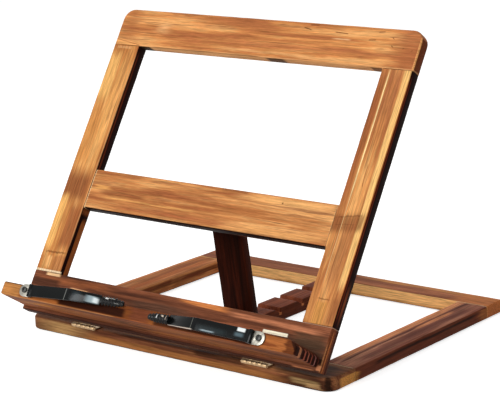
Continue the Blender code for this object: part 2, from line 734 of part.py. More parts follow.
def build_frame(stand, kit, frame):
    """The book frame: three rails between and across two stiles."""
    half = FRAME_WIDTH / 2
    inner = half - STILE_WIDTH
    low, high = stand.back_face, stand.front_face
    middle = (low + high) / 2
    bottom = stand.up(0.0)
    bottom_top = stand.up(BOTTOM_RAIL)
    mid_low = stand.up(MIDDLE_RAIL_BOTTOM)
    mid_high = stand.up(stand.middle_rail_top)
    top = stand.up(FRAME_HEIGHT)
    top_low = top - TOP_RAIL
    joint_x = half - STILE_WIDTH / 2
    low_joints = [place(side * joint_x, bottom_top, middle) for side in (-1, 1)]
    high_joints = [place(side * joint_x, top_low, middle) for side in (-1, 1)]
    mid_joints = [place(side * inner, (mid_low + mid_high) / 2, middle, 0.0, math.pi / 2)
                  for side in (-1, 1)]

    ledge_screws = [place(x, stand.up(LEDGE_RISE + LEDGE_THICKNESS / 2), low, math.pi)
                    for x in (-LEDGE_SCREW_X, 0.0, LEDGE_SCREW_X)]

    bm = prism(rail_cells(-half, half, bottom, bottom_top, (-inner, inner)), low, high)
    spans = [shrink_span(span_at(side * inner, bottom_top, side * half, bottom_top))
             for side in (-1, 1)]
    soften(bm, FRAME_ARRIS, spans)
    rail = add_object("frame_bottom_rail", mesh_from(bm, "frame_bottom_rail"), "scorched_pine", frame)
    tools = [(kit.mortise, joint) for joint in low_joints]
    tools += [(kit.ledge_hole, spot) for spot in ledge_screws]
    for x in (LEFT_HINGE_X, RIGHT_HINGE_X):
        tools += [(kit.leaf_hole, spot) for spot in front_hinge_screws(x, 1)]
    cut(rail, tools, "frame_bottom_rail_cuts")

    cells = rail_cells(-half, half, top_low, top, (-inner, inner))
    for side in (-1, 1):
        cells = round_corner(cells, (side * half, top), FRAME_TOP_CORNER)
    bm = prism(cells, low, high)
    spans = [shrink_span(span_at(side * inner, top_low, side * half, top_low)) for side in (-1, 1)]
    soften(bm, FRAME_ARRIS, spans)
    rail = add_object("frame_top_rail", mesh_from(bm, "frame_top_rail"), "scorched_pine", frame)
    cut(rail, [(kit.mortise, joint) for joint in high_joints], "frame_top_rail_cuts")

    start, end = inner - SEAT_GAP, bottom_top + SEAT_GAP
    bm = prism(rail_cells(-start, start, mid_low, mid_high), low, high)
    spans = [shrink_span(span_at(side * start, mid_low, side * start, mid_high)) for side in (-1, 1)]
    soften(bm, FRAME_ARRIS, spans)
    rail = add_object("frame_middle_rail", mesh_from(bm, "frame_middle_rail"), "scorched_pine", frame)
    tools = [(kit.mortise, joint) for joint in mid_joints]
    to_leg_axis = Matrix.Translation((0.0, stand.leg_axis_up, stand.leg_axis_out))
    tools += [(kit.leg_hole, to_leg_axis @ spot) for spot in leg_hinge_screws(1)]
    cut(rail, tools, "frame_middle_rail_cuts")

    for side, label in ((-1, "left"), (1, "right")):
        x0, x1 = min(side * inner, side * half), max(side * inner, side * half)
        cells = rail_cells(x0, x1, end, top_low - SEAT_GAP, (), (mid_low, mid_high))
        bm = prism(cells, low, high)
        spans = [span_at(x0, y, x1, y) for y in (end, top_low - SEAT_GAP)]
        spans.append(span_at(side * inner, mid_low, side * inner, mid_high))
        soften(bm, FRAME_ARRIS, [shrink_span(span) for span in spans])
        name = "frame_stile_" + label
        stile = add_object(name, mesh_from(bm, name), "scorched_pine", frame)
        number = 0 if side < 0 else 1
        joints = [low_joints[number], mid_joints[number], high_joints[number]]
        cut(stile, [(kit.mortise, joint) for joint in joints], name + "_cuts")
        for joint, spot in zip(joints, ("bottom", "middle", "top")):
            add_shared("frame_tenon_%s_%s" % (label, spot), kit.tenon, joint, "beech_tenon", frame)

    build_ledge(stand, kit, frame, ledge_screws)


def build_ledge(stand, kit, frame, screws):
    """The ledge across the frame's foot, and the long screws that hold it from behind."""
    half = LEDGE_LENGTH / 2
    low = stand.up(LEDGE_RISE)
    near = stand.front_face + SEAT_GAP
    far = stand.front_face + LEDGE_DEPTH
    cells = rail_cells(-half, half, near, far)
    for side in (-1, 1):
        cells = round_corner(cells, (side * half, far), LEDGE_CORNER, ARRIS_STEPS)
    bm = prism(cells, -LEDGE_THICKNESS, 0.0)
    spans = [shrink_span(span_at(-half, near, half, near))]
    soften(bm, LEDGE_ARRIS, spans)
    mesh = mesh_from(bm, "ledge")
    # The board is drawn flat and stood on its long edge: plan depth becomes depth out
    mesh.transform(Matrix(((1, 0, 0, 0), (0, 0, -1, low), (0, 1, 0, 0), (0, 0, 0, 1))))
    ledge = add_object("ledge", mesh, "scorched_pine", frame)
    tools = [(kit.ledge_hole, spot) for spot in screws]
    hole = mesh_from(lathe(clip_screw_profile(FIT_GAP), SCREW_STEPS), "clip_screw_hole")
    for x in (CLIP_LEFT_X, CLIP_RIGHT_X):
        tools.append((hole, clip_place(stand, x)))
    cut(ledge, tools, "ledge_cuts")
    for spot, label in zip(screws, ("left", "middle", "right")):
        add_shared("ledge_screw_" + label, kit.ledge_screw, spot, "zinc_plate", frame)


def clip_place(stand, x):
    """The pivot of a page clip on the ledge's front edge."""
    height = stand.up(LEDGE_RISE + LEDGE_THICKNESS / 2 + CLIP_RISE)
    return place(x, height, stand.front_face + LEDGE_DEPTH)


def clip_screw_profile(growth):
    """The outline of a clip's pan-head pivot screw, from its head's top down."""
    under = PLATE_THICKNESS + 2 * SEAT_GAP
    top = under + CLIP_SCREW_HEAD_HEIGHT
    head = CLIP_SCREW_HEAD + growth
    shank = CLIP_SCREW_SHANK + growth
    crown = head * CLIP_SCREW_CROWN_SHARE
    return [(0.0, top + growth), (crown, top + growth), (head, under + CLIP_SCREW_HEAD_HEIGHT / 2),
            (head, under - growth), (shank, under - growth),
            (shank, SCREW_TIP - CLIP_SCREW_LENGTH), (0.0, -CLIP_SCREW_LENGTH - growth)]


def build_hinge(name, length, level, pin_parent, leaves, place_x):
    """One butt hinge: two leaves with interleaved knuckles, and their pin.

    leaves holds, for each leaf, its name, parent empty, side of the axis, reach sign,
    knuckle numbers, screw mesh, screw hole mesh and screw spread.
    """
    for label, parent, side, reach_sign, mine, screw, hole, spread in leaves:
        mesh = leaf_mesh(name + "_" + label, length, level, side, mine)
        if reach_sign < 0:
            mesh.transform(Matrix.Scale(-1.0, 4, Vector((0.0, 1.0, 0.0))))
            mesh.flip_normals()
        leaf = add_object(name + "_" + label, mesh, "brassed_steel", parent, True)
        leaf.location = (place_x, 0.0, 0.0)
        spots = hinge_screw_places(0.0, level, reach_sign, spread, side)
        cut(leaf, [(hole, spot) for spot in spots], name + "_" + label + "_holes")
        for number, spot in enumerate(spots):
            piece = add_shared("%s_%s_screw_%d" % (name, label, number + 1), screw, spot,
                               "brassed_steel", parent)
            piece.location.x += place_x
    pin = add_object(name + "_pin", pin_mesh(name + "_pin", length), "brassed_steel", pin_parent, True)
    pin.location = (place_x, 0.0, 0.0)


def build_leg(stand, kit, leg):
    """The leg: a board whose foot is cut to lie on the notch's ramp."""
    front, back = -stand.leg_offset, -stand.leg_back
    foot = -stand.foot_reach
    # In the leg's own axes the ramp runs forward and up from the foot's rear corner
    ramp = Vector((-math.cos(NOTCH_RAMP_ANGLE), math.sin(NOTCH_RAMP_ANGLE)))
    turn = -stand.leg_turn
    local = Vector((ramp.x * math.cos(turn) - ramp.y * math.sin(turn),
                    ramp.x * math.sin(turn) + ramp.y * math.cos(turn)))
    lift = local.x / local.y * (front - back)
    half = LEG_WIDTH / 2
    profile = [(-stand.head_drop, front), (-stand.head_drop, back), (foot, back), (foot + lift, front)]
    sections = []
    for x in (-half, half):
        sections.append([(x, y, z) for y, z in profile])
    bm = loft(sections)
    bmesh.ops.recalc_face_normals(bm, faces=bm.faces)
    chosen = []
    for edge in bm.edges:
        ends = [vert.co for vert in edge.verts]
        level = abs(ends[0].z - ends[1].z) < MERGE_GAP
        if level and abs(ends[0].y - ends[1].y) > LEG_THICKNESS:
            chosen.append(edge)
    bmesh.ops.bevel(bm, geom=chosen, offset=LEG_ARRIS, segments=ARRIS_STEPS,
                    profile=ROUND_PROFILE_SHARE, affect="EDGES", clamp_overlap=True)
    board = add_object("support_leg", mesh_from(bm, "support_leg"), "dark_pine", leg)
    cut(board, [(kit.leg_hole, spot) for spot in leg_hinge_screws(-1)], "support_leg_cuts")


def plate_mesh(name, sign):
    """The clip's metal plate: a D-shaped tab with a tongue that enters the arm."""
    half = PLATE_WIDTH / 2
    tongue = PLATE_TONGUE_WIDTH / 2
    outline = [(PLATE_FRONT, -half), (PLATE_FRONT, -tongue), (PLATE_TONGUE, -tongue),
               (PLATE_TONGUE, tongue), (PLATE_FRONT, tongue), (PLATE_FRONT, half)]
    outline += arc((0.0, 0.0), half, math.pi / 2, math.pi, 2 * CORNER_STEPS)
    outline = [(sign * x, y) for x, y in outline]
    return mesh_from(prism([outline], SEAT_GAP, SEAT_GAP + PLATE_THICKNESS), name)


def arm_mesh(name, sign):
    """The clip's arm: a collar, then a strip bent outwards at its crease, then a tongue."""
    collar = PLATE_FRONT + SEAT_GAP
    strip = collar + COLLAR_LENGTH
    shoulder = ARM_THICKNESS / 2
    stations = [
        (collar, SEAT_GAP, COLLAR_HEIGHT, COLLAR_WIDTH),
        (strip, SEAT_GAP, COLLAR_HEIGHT, COLLAR_WIDTH),
        (strip + shoulder, ARM_START_RISE, ARM_START_RISE + ARM_THICKNESS, ARM_WIDTH),
        (CREASE_REACH - shoulder, CREASE_RISE - CREASE_FULLNESS, CREASE_RISE + ARM_THICKNESS, ARM_WIDTH),
        (CREASE_REACH + shoulder, CREASE_RISE - CREASE_FULLNESS, CREASE_RISE + ARM_THICKNESS, ARM_WIDTH),
        (ARM_END_REACH - shoulder, ARM_END_RISE, ARM_END_RISE + ARM_THICKNESS, ARM_END_WIDTH),
        (ARM_END_REACH, ARM_END_RISE, ARM_END_RISE + ARM_THICKNESS, TONGUE_WIDTH),
        (TONGUE_REACH, TONGUE_RISE, TONGUE_RISE + ARM_THICKNESS, TONGUE_WIDTH),
    ]
    sections = []
    for x, low, high, width in stations:
        half = width / 2
        sections.append([(sign * x, -half, low), (sign * x, half, low),
                         (sign * x, half, high), (sign * x, -half, high)])
    return mesh_from(loft(sections), name)


def grip_mesh(name, sign):
    """The ribbed rubber grip on the arm's end, drawn in to a rounded tip."""
    length = GRIP_END - GRIP_START
    slope = (TONGUE_RISE - ARM_END_RISE) / (TONGUE_REACH - ARM_END_REACH)
    count = 2 * GRIP_RIBS + 1
    sections = []
    for step in range(count + 2):
        reach = min(step, count) / count
        x = GRIP_START + length * reach
        groove = GRIP_RIB_DEPTH if step % 2 else 0.0
        taper = max(0.0, (reach - GRIP_TAPER_SHARE) / (1.0 - GRIP_TAPER_SHARE))
        fullness = 1.0 - (1.0 - GRIP_TIP_SHARE) * taper * taper
        half_width = GRIP_WIDTH / 2 * fullness - groove
        half_height = GRIP_HEIGHT / 2 * fullness - groove
        if step == count:
            x = GRIP_END - length / count / 2
        if step > count:
            half_width *= GRIP_TIP_SHARE
            half_height *= GRIP_TIP_SHARE
        centre = ARM_END_RISE + ARM_THICKNESS / 2 + slope * (x - ARM_END_REACH)
        ring = []
        for number in range(GRIP_STEPS):
            angle = 2 * math.pi * (number + 1 / 2) / GRIP_STEPS
            ring.append((sign * x, half_width * math.cos(angle), centre + half_height * math.sin(angle)))
        sections.append(ring)
    return mesh_from(loft(sections), name)


def build_clip(stand, frame, label, x, sign, tilt):
    """One page clip on its pivot screw: plate, arm and grip turn together."""
    spot = clip_place(stand, x).to_translation()
    pivot = add_empty("page_clip_%s_pivot" % label, spot, 0.0, frame, sign * tilt)
    prefix = "page_clip_%s_" % label
    screw = slotted(lathe(clip_screw_profile(0.0), SCREW_STEPS), clip_screw_profile(0.0)[0][1],
                    CLIP_SCREW_HEAD, prefix + "screw")
    fixed = add_object(prefix + "screw", screw, "zinc_plate", frame, True)
    fixed.location = spot
    plate = add_object(prefix + "plate", plate_mesh(prefix + "plate", sign), "zinc_plate", pivot)
    hole = mesh_from(lathe([(0.0, -CUT_OVERRUN), (CLIP_SCREW_SHANK + FIT_GAP, -CUT_OVERRUN),
                            (CLIP_SCREW_SHANK + FIT_GAP, CLIP_SCREW_LENGTH), (0.0, CLIP_SCREW_LENGTH)],
                           SCREW_STEPS), prefix + "hole")
    cut(plate, [(hole, Matrix.Identity(4))], prefix + "plate_hole")
    arm = add_object(prefix + "arm", arm_mesh(prefix + "arm", sign), "black_enamel", pivot)
    tongue = PLATE_TONGUE_WIDTH / 2 + FIT_GAP
    near, far = PLATE_FRONT, PLATE_TONGUE + FIT_GAP
    slot = box_mesh(prefix + "slot", (min(sign * near, sign * far), -tongue, -CUT_OVERRUN),
                    (max(sign * near, sign * far), tongue, PLATE_THICKNESS + 2 * SEAT_GAP))
    cut(arm, [(slot, Matrix.Identity(4))], prefix + "arm_slot")
    grip = add_object(prefix + "grip", grip_mesh(prefix + "grip", sign), "black_rubber", pivot, True)
    cut(grip, [(tongue_tool(prefix + "tongue", sign), Matrix.Identity(4))], prefix + "grip_slot")


def tongue_tool(name, sign):
    """The arm's tongue grown by the fit gap, to hollow the grip."""
    half = TONGUE_WIDTH / 2 + FIT_GAP
    sections = []
    slope = (TONGUE_RISE - ARM_END_RISE) / (TONGUE_REACH - ARM_END_REACH)
    for x in (ARM_END_REACH - CUT_OVERRUN, TONGUE_REACH + FIT_GAP):
        low = ARM_END_RISE + slope * (x - ARM_END_REACH) - FIT_GAP
        high = low + ARM_THICKNESS + 2 * FIT_GAP
        sections.append([(sign * x, -half, low), (sign * x, half, low),
                         (sign * x, half, high), (sign * x, -half, high)])
    return mesh_from(loft(sections), name)


def build():
    """Build the whole stand."""
    clear_scene()
    stand = Stand()
    kit = Hardware()
    base = add_empty("base_front_edge", (0.0, -BASE_DEPTH / 2, 0.0), 0.0)
    hinge_place = (0.0, stand.front_axis.x, stand.front_axis.y)
    hinge_line = add_empty("front_hinge_line", hinge_place, 0.0, base)
    frame = add_empty("book_frame_pivot", hinge_place, stand.lean, base)
    leg_place = (0.0, stand.leg_axis_up, stand.leg_axis_out)
    leg_line = add_empty("leg_hinge_line", leg_place, 0.0, frame)
    leg = add_empty("support_leg_pivot", leg_place, stand.leg_open, frame)
    build_base(stand, kit, base)
    build_frame(stand, kit, frame)
    even = range(0, KNUCKLE_COUNT, 2)
    odd = range(1, KNUCKLE_COUNT, 2)
    for label, x in (("left", LEFT_HINGE_X), ("right", RIGHT_HINGE_X)):
        leaves = [
            ("base_leaf", hinge_line, -1, 1, even, kit.leaf_screw, kit.leaf_hole, FRONT_SCREW_SPREAD),
            ("frame_leaf", frame, 1, 1, odd, kit.leaf_screw, kit.leaf_hole, FRONT_SCREW_SPREAD),
        ]
        build_hinge("front_hinge_" + label, FRONT_HINGE_LENGTH, FRONT_LEAF_LEVEL, hinge_line, leaves, x)
    leaves = [
        ("frame_leaf", leg_line, 1, -1, even, kit.leg_screw, kit.leg_hole, LEG_SCREW_SPREAD),
        ("leg_leaf", leg, -1, -1, odd, kit.leg_screw, kit.leg_hole, LEG_SCREW_SPREAD),
    ]
    build_hinge("leg_hinge", LEG_HINGE_LENGTH, LEG_LEAF_LEVEL, leg_line, leaves, 0.0)
    build_leg(stand, kit, leg)
    build_clip(stand, frame, "left", CLIP_LEFT_X, 1, CLIP_LEFT_TILT)
    build_clip(stand, frame, "right", CLIP_RIGHT_X, -1, CLIP_RIGHT_TILT)
    bpy.context.view_layer.update()
    print("lean of the frame, degrees", round(math.degrees(stand.lean), 2))
    print("leg opened from the frame, degrees", round(math.degrees(stand.leg_open), 2))
    for name in ("book_frame_pivot", "support_leg_pivot", "page_clip_left_pivot",
                 "page_clip_right_pivot"):
        print(name, [round(value, 6) for value in bpy.data.objects[name].matrix_world.translation])
    world = frame.matrix_world
    ledge_top = world @ Vector((0.0, stand.up(LEDGE_RISE + LEDGE_THICKNESS),
                                stand.front_face + LEDGE_DEPTH / 2))
    rail_face = world @ Vector((0.0, stand.up(MIDDLE_RAIL_BOTTOM + MIDDLE_RAIL_WIDTH / 2),
                                stand.front_face))
    print("middle of the ledge's top", [round(value, 6) for value in ledge_top])
    print("middle of the middle rail's face", [round(value, 6) for value in rail_face])
    print("up the frame", [round(value, 6) for value in world.to_3x3() @ Vector((0.0, 1.0, 0.0))])
    print("out of the frame", [round(value, 6) for value in world.to_3x3() @ Vector((0.0, 0.0, 1.0))])


if __name__ == "__main__":
    build()
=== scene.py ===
"""The looks of a folding wooden book stand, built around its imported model.

Every board is pine that was scorched, brushed, stained and varnished. The hinges are thin
brassed steel, the page clips are spring steel in gloss black enamel with ribbed rubber
grips, and their plates and screws are zinc plated.

Places on a board are given in millimetres in the axes of the assembly that carries it:
x runs to the reader's right, y runs back over the base or up the book frame or the leg, and
z runs out of the board's face.
"""

import json
import logging
import math
from dataclasses import dataclass, field
from enum import Enum
from functools import cache, partial

import bmesh
import bpy
import numpy as np
from mathutils import Matrix, Vector, noise


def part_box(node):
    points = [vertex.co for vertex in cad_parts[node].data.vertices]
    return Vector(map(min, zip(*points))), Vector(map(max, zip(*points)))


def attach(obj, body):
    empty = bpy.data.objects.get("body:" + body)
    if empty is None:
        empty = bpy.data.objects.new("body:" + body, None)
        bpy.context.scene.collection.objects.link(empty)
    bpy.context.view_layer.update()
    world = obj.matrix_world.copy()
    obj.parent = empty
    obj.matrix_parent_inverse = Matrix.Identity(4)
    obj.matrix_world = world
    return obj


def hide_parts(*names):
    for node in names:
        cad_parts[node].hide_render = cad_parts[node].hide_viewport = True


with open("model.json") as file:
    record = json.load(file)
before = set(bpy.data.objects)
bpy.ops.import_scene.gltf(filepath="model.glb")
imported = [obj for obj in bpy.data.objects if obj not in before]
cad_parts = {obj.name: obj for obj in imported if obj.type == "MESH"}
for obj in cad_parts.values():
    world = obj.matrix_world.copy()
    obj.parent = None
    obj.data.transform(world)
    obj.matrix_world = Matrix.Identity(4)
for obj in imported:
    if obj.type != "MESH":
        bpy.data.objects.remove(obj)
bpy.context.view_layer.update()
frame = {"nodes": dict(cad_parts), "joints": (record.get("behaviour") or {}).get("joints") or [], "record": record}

LOG = logging.getLogger("book_stand")

MM = 0.001
FAR = 1000.0
UP = Vector((0.0, 0.0, 1.0))
LEG_OPENING_DEG = 41.78

# Char together with painted shade: a dark brown laid over a board's back face or underside.
CHAR_AND_SHADE = ("#2A120A", 0.85)
ON_TOP = (9, FAR)
ON_FACE = (11, FAR)
EDGE_SOFT_MM = 0.6

MERGE_MM = 0.002
WEDGE_MERGE_MM = 0.01
FLAT_DEG = 0.5
ROUNDED_FROM_DEG = 32.0
ROUNDING_STEPS = 2

MATH, VECTOR_MATH, MAP_RANGE = "ShaderNodeMath", "ShaderNodeVectorMath", "ShaderNodeMapRange"
COMBINE, SEPARATE, NOISE = "ShaderNodeCombineXYZ", "ShaderNodeSeparateXYZ", "ShaderNodeTexNoise"
MIX, BUMP = "ShaderNodeMix", "ShaderNodeBump"
TRANSFORM, SET_POSITION = "GeometryNodeTransform", "GeometryNodeSetPosition"
INSTANCES, BACKGROUND = "GeometryNodeInstanceOnPoints", "ShaderNodeBackground"
WHITE = (1.0, 1.0, 1.0, 1.0)
MIX_FACTOR, MIX_A, MIX_B, MIX_RESULT = 0, 6, 7, 2
FLOAT, INTEGER, VECTOR = "NodeSocketFloat", "NodeSocketInt", "NodeSocketVector"

Triple = tuple[float, float, float]
Source = bpy.types.Node | bpy.types.NodeSocket


def linear(hex_colour: str) -> tuple[float, float, float, float]:
    """Turn an sRGB hex colour into linear RGB with full alpha.

    Args:
        hex_colour: Six hex digits after a hash sign.

    Returns:
        Red, green, blue and alpha as the shader nodes take them.
    """
    values = [int(hex_colour[place:place + 2], 16) / 255 for place in (1, 3, 5)]
    curve = [v / 12.92 if v <= 0.04045 else ((v + 0.055) / 1.055) ** 2.4 for v in values]
    return (curve[0], curve[1], curve[2], 1.0)


def feed(tree: bpy.types.NodeTree, node: bpy.types.Node, inputs: dict) -> None:
    """Set or link a node's inputs.

    Args:
        tree: The node's tree.
        node: The node.
        inputs: Values, sockets or nodes (for their first output), by input name or number.
    """
    for key, value in inputs.items():
        if isinstance(value, bpy.types.Node):
            value = value.outputs[0]
        if isinstance(value, bpy.types.NodeSocket):
            tree.links.new(value, node.inputs[key])
        else:
            node.inputs[key].default_value = value


def add(tree: bpy.types.NodeTree, kind: str, inputs: dict | None = None,
        **settings: object) -> bpy.types.Node:
    """Add one node, set its properties and feed its inputs.

    Args:
        tree: The shader or geometry tree.
        kind: The node's type name.
        inputs: What its inputs get, as in feed.
        **settings: Properties of the node by name.

    Returns:
        The new node.
    """
    made = tree.nodes.new(kind)
    for name, value in settings.items():
        setattr(made, name, value)
    feed(tree, made, inputs or {})
    return made


class Assembly(Enum):
    """The parts of the stand that carry boards, by the name of their body."""

    BASE = "base"
    BOOK_FRAME = "book_frame"
    LEG = "support_leg"


class Grain(Enum):
    """The way that a board's grain runs in the axes of its assembly, as a turn in degrees."""

    ALONG_X = (0.0, 0.0, 0.0)
    ALONG_Y = (0.0, 0.0, -90.0)


class Side(Enum):
    """A face of a board: the axis that it is square to, and which end of it."""

    RIGHT = (0, 1)
    NEAR = (1, -1)
    BACK = (2, -1)


def stand_record(kind: str, name: str) -> dict:
    """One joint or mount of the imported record, by its name."""
    entries = frame["joints"] if kind == "joints" else frame["record"][kind]
    return next(entry for entry in entries if entry["name"] == name)


def assembly_matrix(assembly: Assembly) -> Matrix:
    """The matrix that takes an assembly's own metres to the stand's axes.

    Args:
        assembly: The part of the stand.

    Returns:
        A rotation about X and a shift; the base's is the front edge of the base.
    """
    if assembly is Assembly.BASE:
        low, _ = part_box("base_front_rail")
        return Matrix.Translation((0.0, low[1], 0.0))
    up = Vector(stand_record("mounts", "book_rest")["axis"])
    lean = math.atan2(up.z, up.y)
    if assembly is Assembly.BOOK_FRAME:
        place = stand_record("joints", "book_frame_hinge")["pos_m"]
        return Matrix.Translation(place) @ Matrix.Rotation(lean, 4, "X")
    place = stand_record("joints", "support_leg_hinge")["pos_m"]
    turned = lean + math.radians(LEG_OPENING_DEG)
    return Matrix.Translation(place) @ Matrix.Rotation(turned, 4, "X")


@dataclass(frozen=True)
class Mark:
    """A streak, stain or worn line, or a painted highlight, reflection or shadow, on a board or a clip, as a
    soft-edged block.

    The block runs from low to high in millimetres, its edges fade over soft, slope is its
    rise in y for each millimetre of x, and wander is how far it follows the wavy grain.
    """

    tone: str
    low: Triple
    high: Triple
    soft: Triple
    strength: float
    slope: float
    wander: float


def face_mark(low: Vector, high: Vector, side: Side, tone: str, strength: float = 0.9,
              depth: float = 1.3) -> Mark:
    """Colour one whole face of a board; the boards get their char and their painted light and shade this way.

    Args:
        low: The board's lowest corner in its assembly's axes, in millimetres.
        high: Its highest corner.
        side: The face.
        tone: Hex colour.
        strength: Share of the tone in the mix.
        depth: How far the colour goes in from the face, in millimetres.

    Returns:
        The mark.
    """
    axis, sign = side.value
    start, end = [-FAR] * 3, [FAR] * 3
    if sign < 0:
        end[axis] = low[axis] + depth
    else:
        start[axis] = high[axis] - depth
    return Mark(tone, tuple(start), tuple(end), (EDGE_SOFT_MM,) * 3, strength, 0.0, 0.0)


def streak(tone: str, x: tuple[float, float], y: tuple[float, float], strength: float = 0.7,
           soft: tuple[float, ...] = (10.0, 1.5), slope: float = 0.0,
           z: tuple[float, float] = (-FAR, FAR), wander: float = 1.0) -> Mark:
    """Lay a streak, a stain, a painted highlight or a painted shadow over a board, through its thickness unless z
    says otherwise.

    Args:
        tone: Hex colour.
        x: Where it starts and ends along x, in millimetres.
        y: The same along y, at the middle of its run along x.
        strength: Share of the tone in the mix.
        soft: Width of its faded edges along x, y and, if given, z.
        slope: Rise in y for each millimetre of x.
        z: The same along z.
        wander: How far its edges follow the wavy grain, 0 to 1.

    Returns:
        The mark.
    """
    drop = slope * sum(x) / 2
    return Mark(tone, (x[0], y[0] - drop, z[0]), (x[1], y[1] - drop, z[1]),
                (*soft, EDGE_SOFT_MM)[:3], strength, slope, wander)


# A patch has straight edges: wear, a nick, a painted highlight, a painted reflection or a painted shadow that does
# not follow the grain.
patch = partial(streak, wander=0.0)


@cache
def mark_group() -> bpy.types.NodeTree:
    """Build the node group that lays one mark over a colour, on first use.

    Returns:
        The group.
    """
    tree = bpy.data.node_groups.new("wood mark", "ShaderNodeTree")
    sockets = {"Colour": "NodeSocketColor", "Place": VECTOR, "Low": VECTOR, "High": VECTOR,
               "Soft": VECTOR, "Tone": "NodeSocketColor", "Strength": FLOAT, "Slope": FLOAT,
               "Sway": VECTOR, "Wander": FLOAT}
    for name, kind in sockets.items():
        tree.interface.new_socket(name, in_out="INPUT", socket_type=kind)
    tree.interface.new_socket("Colour", in_out="OUTPUT", socket_type="NodeSocketColor")
    given = add(tree, "NodeGroupInput").outputs
    moved = add(tree, VECTOR_MATH, {0: given["Sway"], "Scale": given["Wander"]},
                operation="SCALE")
    moved = add(tree, VECTOR_MATH, {0: moved, 1: given["Place"]}, operation="ADD")
    place = add(tree, SEPARATE, {0: moved}).outputs
    down = add(tree, MATH, {0: given["Slope"], 1: -1.0}, operation="MULTIPLY")
    across = add(tree, MATH, {0: place["X"], 1: down, 2: place["Y"]}, operation="MULTIPLY_ADD")
    point = add(tree, COMBINE, {0: place["X"], 1: across, 2: place["Z"]})
    inside = []
    for first, second in ((point, given["Low"]), (given["High"], point)):
        gap = add(tree, VECTOR_MATH, {0: first, 1: second}, operation="SUBTRACT")
        inside.append(add(tree, VECTOR_MATH, {0: gap, 1: given["Soft"]}, operation="DIVIDE"))
    least = add(tree, VECTOR_MATH, {0: inside[0], 1: inside[1]}, operation="MINIMUM")
    masks = [add(tree, MAP_RANGE, {0: part}, interpolation_type="SMOOTHSTEP")
             for part in add(tree, SEPARATE, {0: least}).outputs]
    product = masks[0]
    for factor in (*masks[1:], given["Strength"]):
        product = add(tree, MATH, {0: product, 1: factor}, operation="MULTIPLY")
    mixed = add(tree, MIX, {MIX_FACTOR: product, MIX_A: given["Colour"], MIX_B: given["Tone"]},
                data_type="RGBA")
    add(tree, "NodeGroupOutput", {0: mixed.outputs[MIX_RESULT]})
    return tree


def lay_marks(tree: bpy.types.NodeTree, colour: Source, marks: list[Mark], place: Source,
              sway: Source | None = None) -> Source:
    """Lay marks over a colour, one after another.

    Args:
        tree: The material's tree.
        colour: The colour below them.
        marks: What is laid, in order.
        place: The spot in millimetres in the assembly's axes.
        sway: How far the wavy grain moves an edge at that spot, or None.

    Returns:
        The colour with its marks.
    """
    for mark in marks:
        inputs = {"Colour": colour, "Place": place, "Low": mark.low, "High": mark.high,
                  "Soft": mark.soft, "Tone": linear(mark.tone), "Strength": mark.strength,
                  "Slope": mark.slope, "Wander": mark.wander}
        if sway:
            inputs["Sway"] = sway
        colour = add(tree, "ShaderNodeGroup", inputs, node_tree=mark_group())
    return colour


def assembly_place(tree: bpy.types.NodeTree, matrix: Matrix) -> bpy.types.Node:
    """Find the shaded spot in millimetres in an assembly's axes.

    Args:
        tree: The material's tree.
        matrix: The assembly's matrix.

    Returns:
        The node that gives the spot.
    """
    home = matrix.inverted()
    spot = add(tree, "ShaderNodeTexCoord").outputs["Object"]
    return add(tree, "ShaderNodeMapping", {
        "Vector": spot, "Location": home.to_translation() / MM, "Rotation": home.to_euler(),
        "Scale": (1 / MM,) * 3})


def new_material(name: str) -> tuple[bpy.types.Material, bpy.types.NodeTree, bpy.types.Node]:
    """An empty node material with its Principled shader.

    Args:
        name: The material's name.

    Returns:
        The material, its tree and the shader node.
    """
    material = bpy.data.materials.new(name)
    material.use_nodes = True
    tree = material.node_tree
    return material, tree, tree.nodes["Principled BSDF"]


def dress_shader(tree: bpy.types.NodeTree, shader: bpy.types.Node, colour: Source,
                 wear: Source, roughness: float, spread: tuple[float, float], relief: Source,
                 depth: tuple[float, float], level: dict[str, float]) -> None:
    """Feed a Principled shader its colour, its uneven gloss and its relief.

    Args:
        tree: The material's tree.
        shader: Its shader.
        colour: The colour.
        wear: A noise that the roughness follows.
        roughness: The usual roughness.
        spread: What the noise adds to it at its lowest and at its highest.
        relief: The height of the surface.
        depth: Strength of the relief, and its height in millimetres.
        level: A uniform level of the shader, by its input's name.
    """
    rough = add(tree, MAP_RANGE, {0: wear, 3: roughness + spread[0], 4: roughness + spread[1]})
    bump = add(tree, BUMP, {"Strength": depth[0], "Distance": depth[1] * MM, "Height": relief})
    feed(tree, shader, {"Base Color": colour, "Roughness": rough, "Normal": bump, **level})


@dataclass(frozen=True)
class Blotches:
    """A noise drawn out along the grain: the blotches' length and width, and their character."""

    length: float
    width: float
    detail: float
    roughness: float = 0.55
    distortion: float = 0.0

    def lay(self, tree: bpy.types.NodeTree, place: Source, unit_mm: float = 1.0) -> bpy.types.Node:
        """Add the noise to a material.

        Args:
            tree: The material's tree.
            place: The spot in millimetres, with x along the grain.
            unit_mm: What the length and the width are counted in.

        Returns:
            The noise node.
        """
        across = 1 / (self.width * unit_mm)
        scale = (1 / (self.length * unit_mm), across, across)
        scaled = add(tree, VECTOR_MATH, {0: place, 1: scale}, operation="MULTIPLY")
        return add(tree, NOISE, {"Vector": scaled, "Scale": 1.0, "Detail": self.detail,
                                 "Roughness": self.roughness, "Distortion": self.distortion})


